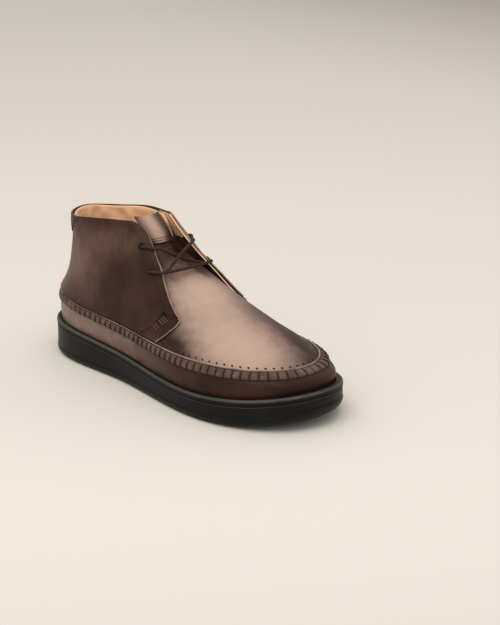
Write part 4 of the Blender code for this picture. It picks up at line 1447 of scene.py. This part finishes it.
def oiled_leather(name, dark, middle, pale, roughness, specular=0.14, scuffs=0.08):
    """Pull-up leather: mottled, with a fine grain, and fine scuffs. It is pale where its tone is high,
    partly its own pull-up and partly painted sheen, and darker with painted shade where its tone is
    negative.
    """
    made, tree, shader = new_material(name)
    cloud = ramp(tree, noise(tree, (26, 26, 26), 5.0), 0.36, 0.66)
    mottle = ramp(tree, noise(tree, (120, 120, 120), 4.0), 0.35, 0.70)
    tone = node(tree, "ShaderNodeAttribute", attribute_name="tone").outputs["Fac"]
    base = blended(tree, cloud, dark, middle)
    # Painted sheen, partly pull-up: a high tone blends the base towards the pale colour; a negative
    # tone darkens it as painted shade
    lift = ramp(tree, maths(tree, "ADD", tone, maths(tree, "MULTIPLY", mottle, 0.10)), 0.02, 1.12)
    base = blended(tree, lift, base, pale)
    shade = ramp(tree, maths(tree, "MULTIPLY", tone, -1.0), 0.02, 0.8)
    base = blended(tree, maths(tree, "MULTIPLY", shade, 0.55), base, tuple(0.5 * c for c in dark))
    long_marks = ramp(tree, noise(tree, (34, 300, 170), 3.0, 0.6), 0.66, 0.74)
    cross_marks = ramp(tree, noise(tree, (260, 60, 70), 3.0, 0.6), 0.68, 0.76)
    marks = maths(tree, "MAXIMUM", long_marks, cross_marks)
    worn = ramp(tree, noise(tree, (12, 12, 12), 2.0), 0.45, 0.62)
    marks = maths(tree, "MULTIPLY", marks, maths(tree, "MULTIPLY", worn, scuffs))
    base = blended(tree, marks, base, pale)
    tree.links.new(base, shader.inputs["Base Color"])
    rough = node(tree, "ShaderNodeMapRange")
    rough.inputs["To Min"].default_value = roughness - 0.06
    rough.inputs["To Max"].default_value = roughness + 0.08
    tree.links.new(mottle, rough.inputs["Value"])
    tree.links.new(rough.outputs["Result"], shader.inputs["Roughness"])
    shader.inputs["Specular IOR Level"].default_value = specular
    pebble = node(tree, "ShaderNodeTexVoronoi", Scale=1.0)
    tree.links.new(mapped(tree, (1500, 1500, 1500)), pebble.inputs["Vector"])
    grain = maths(tree, "ADD", pebble.outputs["Distance"],
                  maths(tree, "MULTIPLY", noise(tree, (520, 520, 520), 4.0), 1.6))
    grain = maths(tree, "ADD", grain, maths(tree, "MULTIPLY", noise(tree, (60, 60, 60), 2.0), 2.0))
    add_bump(tree, shader, grain, 0.35, 0.00022)
    return made


def plain_leather(name, dark, pale, roughness, fine=900, strength=0.3):
    """Two close colours and a fine grain: lining, cut edges, thread and the rubber's painted highlight.
    """
    made, tree, shader = new_material(name)
    cloud = ramp(tree, noise(tree, (60, 60, 60), 5.0), 0.35, 0.68)
    tree.links.new(blended(tree, cloud, dark, pale), shader.inputs["Base Color"])
    shader.inputs["Roughness"].default_value = roughness
    add_bump(tree, shader, noise(tree, (fine, fine, fine), 5.0), strength, 0.0002)
    return made


def rubber_material(name):
    """Black sole rubber with a little dust."""
    made, tree, shader = new_material(name)
    cloud = ramp(tree, noise(tree, (40, 40, 40), 5.0), 0.3, 0.75)
    base = blended(tree, cloud, (0.0034, 0.0036, 0.0021), (0.0062, 0.0064, 0.0042))
    dust = ramp(tree, noise(tree, (300, 300, 300), 6.0, 0.7), 0.60, 0.80)
    base = blended(tree, maths(tree, "MULTIPLY", dust, 0.15), base, (0.035, 0.036, 0.028))
    tree.links.new(base, shader.inputs["Base Color"])
    shader.inputs["Roughness"].default_value = 0.46
    shader.inputs["Specular IOR Level"].default_value = 0.16
    grain = maths(tree, "ADD", noise(tree, (1400, 1400, 1400), 3.0), noise(tree, (260, 260, 260), 3.0))
    add_bump(tree, shader, grain, 0.25, 0.00018)
    return made


def cord_material(name, dark, pale):
    """Waxed cotton of the lace."""
    made, tree, shader = new_material(name)
    fibre = ramp(tree, noise(tree, (900, 900, 2200), 4.0), 0.35, 0.7)
    tree.links.new(blended(tree, fibre, dark, pale), shader.inputs["Base Color"])
    shader.inputs["Roughness"].default_value = 0.5
    shader.inputs["Specular IOR Level"].default_value = 0.2
    add_bump(tree, shader, noise(tree, (2500, 2500, 2500), 3.0), 0.4, 0.00015)
    return made


def floor_material():
    """The pale floor, with painted light falloff that darkens it away from the boot."""
    made, tree, shader = new_material("floor")
    place = node(tree, "ShaderNodeTexCoord")
    split = node(tree, "ShaderNodeSeparateXYZ")
    tree.links.new(place.outputs["Object"], split.inputs["Vector"])
    depth = maths(tree, "SUBTRACT", maths(tree, "MULTIPLY", split.outputs["Y"], FLOOR_ALONG),
                  maths(tree, "MULTIPLY", split.outputs["X"], FLOOR_ACROSS))
    far = ramp(tree, depth, 0.1, 3.4)
    near = ramp(tree, depth, -0.70, -0.20)
    colour = blended(tree, far, blended(tree, near, FLOOR_FRONT, FLOOR_NEAR), FLOOR_FAR)
    sideways = maths(tree, "ADD", maths(tree, "MULTIPLY", split.outputs["X"], FLOOR_ALONG),
                     maths(tree, "MULTIPLY", split.outputs["Y"], FLOOR_ACROSS))
    right = ramp(tree, maths(tree, "ADD", sideways, maths(tree, "MULTIPLY", depth, 0.55)), 0.9, 3.2)
    tree.links.new(blended(tree, right, colour, FLOOR_RIGHT_SHADE), shader.inputs["Base Color"])
    shader.inputs["Roughness"].default_value = 0.9
    shader.inputs["Specular IOR Level"].default_value = 0.15
    return made


def make_stage():
    """The floor, just under the sole."""
    mesh = bpy.data.meshes.new("floor")
    corners = [(x * FLOOR_HALF, y * FLOOR_HALF, 0) for x, y in ((-1, -1), (1, -1), (1, 1), (-1, 1))]
    mesh.from_pydata(corners, [], [(0, 1, 2, 3)])
    mesh.materials.append(floor_material())
    floor = bpy.data.objects.new("floor", mesh)
    floor.location.z = -FLOOR_DROP
    bpy.context.scene.collection.objects.link(floor)


def area_light(name, place, target, size, power, colour):
    """A rectangular area light at a place, turned to a target."""
    data = bpy.data.lights.new(name, "AREA")
    data.shape = "RECTANGLE"
    data.size, data.size_y = size
    data.energy = power
    data.color = colour
    light = bpy.data.objects.new(name, data)
    light.location = place
    light.rotation_euler = (Vector(target) - Vector(place)).to_track_quat("-Z", "Y").to_euler()
    bpy.context.scene.collection.objects.link(light)


def make_lights():
    """Even daylight, and one soft light from the front."""
    world = bpy.data.worlds.new("studio")
    world.use_nodes = True
    background = world.node_tree.nodes["Background"]
    background.inputs["Color"].default_value = (1.0, 0.965, 0.91, 1.0)
    background.inputs["Strength"].default_value = DAYLIGHT
    bpy.context.scene.world = world
    area_light("softbox", SOFTBOX_PLACE, SOFTBOX_TARGET, SOFTBOX_SIZE, SOFTBOX_WATTS, (1.0, 0.97, 0.92))


def make_camera():
    """The photograph's camera."""
    data = bpy.data.cameras.new("camera")
    data.lens = CAMERA_LENS
    data.sensor_width = CAMERA_SENSOR
    camera = bpy.data.objects.new("camera", data)
    place = Vector(np.array(CAMERA_PLACE) + ORIGIN)
    target = Vector(np.array(CAMERA_TARGET) + ORIGIN)
    camera.location = place
    camera.rotation_euler = (target - place).to_track_quat("-Z", "Y").to_euler()
    bpy.context.scene.collection.objects.link(camera)
    bpy.context.scene.camera = camera
    bpy.context.scene.view_settings.view_transform = "Standard"


def main():
    """Camera, stage, lights, materials and pieces."""
    make_camera()
    make_stage()
    make_lights()
    # pale is the colour of the pull-up leather and of its painted sheen
    dark, middle, pale = (0.027, 0.0105, 0.0058), (0.052, 0.0215, 0.0130), (0.54, 0.380, 0.310)
    leather = oiled_leather("oiled_leather", dark, middle, pale, 0.44)
    panel = oiled_leather("quarter_oiled_leather", dark, middle, (0.26, 0.155, 0.115), 0.44)
    flap = oiled_leather("tongue_oiled_leather", dark, (0.08, 0.042, 0.030), (0.50, 0.34, 0.27), 0.46)
    strap = oiled_leather("tab_oiled_leather", dark, middle, (0.20, 0.12, 0.09), 0.48)
    cut_edge = plain_leather("cut_edge", (0.24, 0.15, 0.115), (0.44, 0.30, 0.24), 0.62)
    brown_edge = plain_leather("brown_edge", (0.045, 0.022, 0.015), (0.10, 0.055, 0.040), 0.62)
    # The seam's ridge is light: partly worn leather, partly a painted highlight
    ridge = plain_leather("ridge_wear_and_highlight", (0.24, 0.15, 0.115), (0.44, 0.31, 0.25), 0.6)
    tan = plain_leather("tan_lining", (0.84, 0.50, 0.28), (0.95, 0.63, 0.39), 0.55)
    footbed = plain_leather("footbed_leather", (0.52, 0.29, 0.14), (0.66, 0.40, 0.21), 0.6)
    thread = plain_leather("waxed_thread", (0.013, 0.0048, 0.0032), (0.034, 0.0135, 0.0095), 0.6, 2500)
    hand_thread = plain_leather("hand_thread", (0.040, 0.019, 0.013), (0.10, 0.055, 0.041), 0.55, 2500)
    # Near-black painted shade for the eyelet rims and the awl holes
    pit = plain_leather("painted_pit_shade", (0.004, 0.002, 0.0015), (0.010, 0.005, 0.004), 0.8)
    cord = cord_material("lace_waxed_cotton", (0.020, 0.0085, 0.0060), (0.066, 0.032, 0.022))
    rubber = rubber_material("cupsole_rubber")
    # Painted highlight on the rubber, along the rim's top outer edge and under the groove
    worn = plain_leather("rubber_painted_highlight", (0.030, 0.029, 0.021), (0.055, 0.053, 0.041), 0.5)
    make_cupsole(rubber, worn)
    make_insole(footbed)
    make_upper(leather, tan, cut_edge, ridge)
    make_quarter(False, panel, cut_edge, brown_edge, tan)
    make_quarter(True, panel, cut_edge, brown_edge, tan)
    make_tongue(flap, brown_edge)
    make_pull_tab(strap, brown_edge)
    make_lace(cord)
    make_eyelet_shade_rings(pit)
    make_seam_thread(thread)
    make_pinholes(pit)
    make_patch_stitches(hand_thread)
    make_tongue_stitches(thread)


main()
